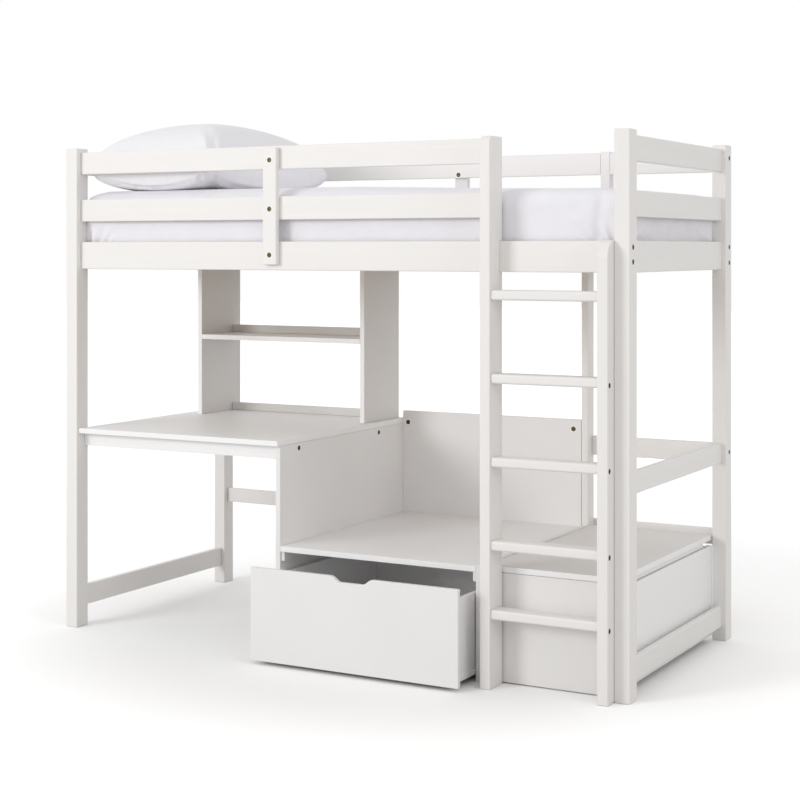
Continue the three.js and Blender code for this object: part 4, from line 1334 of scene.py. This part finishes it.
for point in mattress.data.vertices:
    point.co.x = min(mattress_high.x, max(mattress_low.x - HEAD_PRESS, point.co.x))
    point.co.y = min(mattress_high.y, max(mattress_low.y, point.co.y))
    point.co.z = min(mattress_high.z, max(mattress_low.z, point.co.z))
pick_only(mattress)
bpy.ops.object.shade_smooth()
mattress_cotton = cotton("mattress_cotton", (0.90, 0.89, 0.93), (0.88, 0.87, 0.91), 0.0009)
fit_to_bed(mattress, mattress_cotton, "mattress_cloth", "mattress")

# ---- The pillow ----
# A plump feather pillow in a cotton case, lying at the left end. Its case is sewn all round, and
# the stuffing leaves a crease where the near right corner is pinched.
PILLOW_CELL = 0.007
FOOT_RINGS = 10
CROWN_RINGS = 24
COVER_INSET = 0.0015
PILLOW_LENGTH = 0.538
PILLOW_WIDTH = 0.833
PILLOW_HEIGHT = 0.247
SEAM_AT_SIDES = 0.012
SEAM_AT_CORNERS = 0.073
HEAD_LIFT = 1.4
FOOT_LIFT = 2.4
TIP_SHARE = 0.944
PINCH = 0.45
PINCH_REACH = 0.11
PILLOW_FOOT_SHARE = 0.47
PILLOW_WAIST = 0.04
SEAM_ROUNDNESS = 12
FOOT_ROUNDNESS = 2.6
CROWN_ROUNDNESS = 3
PILLOW_FULLNESS = 0.852
PILLOW_RISE = 0.983
RING_POINTS = 96
CREASE_LENGTH = 0.26
CREASE_TURN = math.radians(10)
RIDGE_SIDE = -0.006
RIDGE_WIDTH = 0.012
RIDGE_HEIGHT = 0.008
VALLEY_SIDE = 0.022
VALLEY_WIDTH = 0.018
VALLEY_DEPTH = 0.013
FAN_DEPTH = 0.002
FAN_STREAKS = 26
FAN_ORIGIN = 0.06
FAN_START = 0.04
CREASE_START = 0.03
FOOT_END_SLACK = 0.004
HEAD_END_SLACK = 0.001
PILLOW_LIFT = 0.0002
pillow_low, pillow_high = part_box("pillow")
pillow_middle = (pillow_low + pillow_high) / 2
pillow_foot = Vector((pillow_middle.x, pillow_middle.y, pillow_low.z))


def seam_at(u, v):
    """Height of the seam: it lies low along the sides, and lifts towards the four corners."""
    cornerward = min(abs(u), abs(v)) ** (HEAD_LIFT if u < 0 else FOOT_LIFT)
    return SEAM_AT_SIDES + (SEAM_AT_CORNERS - SEAM_AT_SIDES) * cornerward


def pillow_ring(share, roundness, height_at):
    """One level of the pillow: squarish at the seam, and pinched flat at the two foot tips."""
    ring = []
    for index in range(RING_POINTS):
        turn = 2 * math.pi * index / RING_POINTS
        cos, sin = math.cos(turn), math.sin(turn)
        reach = (abs(cos) ** roundness + abs(sin) ** roundness) ** (-1 / roundness)
        u, v = reach * cos, reach * sin
        draw_x = 1 - PILLOW_WAIST * math.cos(v * math.pi / 2)
        draw_y = 1 - PILLOW_WAIST * math.cos(u * math.pi / 2)
        x = u * draw_x * share * (PILLOW_LENGTH / 2 - COVER_INSET)
        y = v * draw_y * share * (PILLOW_WIDTH / 2 - COVER_INSET)
        from_tip = math.hypot(
            TIP_SHARE * PILLOW_LENGTH / 2 - abs(x), TIP_SHARE * PILLOW_WIDTH / 2 - abs(y)
        )
        seam = seam_at(u, v)
        swell = 1 - (PINCH if u > 0 else 0) * ease(1 - from_tip / PINCH_REACH)
        z = seam + (height_at(seam) - seam) * swell
        ring.append(pillow_foot + Vector((x, y, z)))
    return ring


def roundness_at(turn, end):
    return end + (SEAM_ROUNDNESS - end) * math.cos(turn) ** 3


def foot_height(turn):
    return lambda seam: 0.0006 + seam * (1 - math.sin(turn))


def crown_height(turn):
    rise = math.sin(turn) ** PILLOW_RISE
    top = PILLOW_HEIGHT - COVER_INSET
    return lambda seam: seam + (top - seam) * rise


rings = []
for index in range(FOOT_RINGS, 0, -1):
    turn = index / FOOT_RINGS * math.pi / 2
    share = PILLOW_FOOT_SHARE + (1 - PILLOW_FOOT_SHARE) * math.cos(turn)
    rings.append(pillow_ring(share, roundness_at(turn, FOOT_ROUNDNESS), foot_height(turn)))
for index in range(CROWN_RINGS):
    turn = index / CROWN_RINGS * math.pi / 2
    share = math.cos(turn) ** PILLOW_FULLNESS
    rings.append(pillow_ring(share, roundness_at(turn, CROWN_ROUNDNESS), crown_height(turn)))
pillow_shape = bmesh.new()
levels = [[pillow_shape.verts.new(point) for point in ring] for ring in rings]
for lower, upper in zip(levels, levels[1:]):
    for index in range(RING_POINTS):
        after = (index + 1) % RING_POINTS
        pillow_shape.faces.new((lower[index], lower[after], upper[after], upper[index]))
pillow_shape.faces.new(list(reversed(levels[0])))
pillow_shape.faces.new(levels[-1])
pillow_mesh = bpy.data.meshes.new("pillow_in_its_case")
pillow_shape.to_mesh(pillow_mesh)
pillow_shape.free()
pillow = bpy.data.objects.new("pillow_in_its_case", pillow_mesh)
bpy.context.collection.objects.link(pillow)
even_skin(pillow, PILLOW_CELL)
fill_cover(pillow, 1.0, 0.02, 0.005)

# The crease: a sharp ridge from the pinched corner towards the crown, a valley on its shaded side
# and streaks that fan out from the corner beyond it.
corner_tip = pillow_foot + Vector(
    (TIP_SHARE * PILLOW_LENGTH / 2, -TIP_SHARE * PILLOW_WIDTH / 2, SEAM_AT_CORNERS)
)
pillow_core = pillow_foot + Vector((0, 0, SEAM_AT_CORNERS))
inward = (pillow_core - corner_tip).normalized()
inward.rotate(Matrix.Rotation(CREASE_TURN, 3, "Z"))
shaded_side = Vector((-inward.y, inward.x, 0))


def bump_at(across, side, width):
    return math.exp(-(((across - side) / width) ** 2))


for point in pillow.data.vertices:
    offset = point.co - corner_tip
    along = offset.dot(inward)
    across = -offset.dot(shaded_side)
    if along < CREASE_LENGTH:
        fade = ease(1 - along / CREASE_LENGTH) * ease((along + CREASE_START) / CREASE_START)
        lift = RIDGE_HEIGHT * bump_at(across, RIDGE_SIDE, RIDGE_WIDTH)
        lift -= VALLEY_DEPTH * bump_at(across, VALLEY_SIDE, VALLEY_WIDTH)
        fan = math.sin(FAN_STREAKS * math.atan2(across, along + FAN_ORIGIN))
        lift += FAN_DEPTH * fan * ease(across / FAN_START)
        point.co += (point.co - pillow_core).normalized() * lift * fade
    held_x = max(pillow_low.x - HEAD_END_SLACK, point.co.x)
    point.co.x = min(pillow_high.x + FOOT_END_SLACK, held_x)
    point.co.z = max(pillow_low.z + PILLOW_LIFT, point.co.z)
finish_with(pillow, "SUBSURF", levels=1, render_levels=1)
pick_only(pillow)
bpy.ops.object.shade_smooth()
pillow_cotton = cotton("pillow_cotton", (0.925, 0.915, 0.945), (0.91, 0.90, 0.93), 0.0008)
fit_to_bed(pillow, pillow_cotton, "pillow_cloth", "pillow")
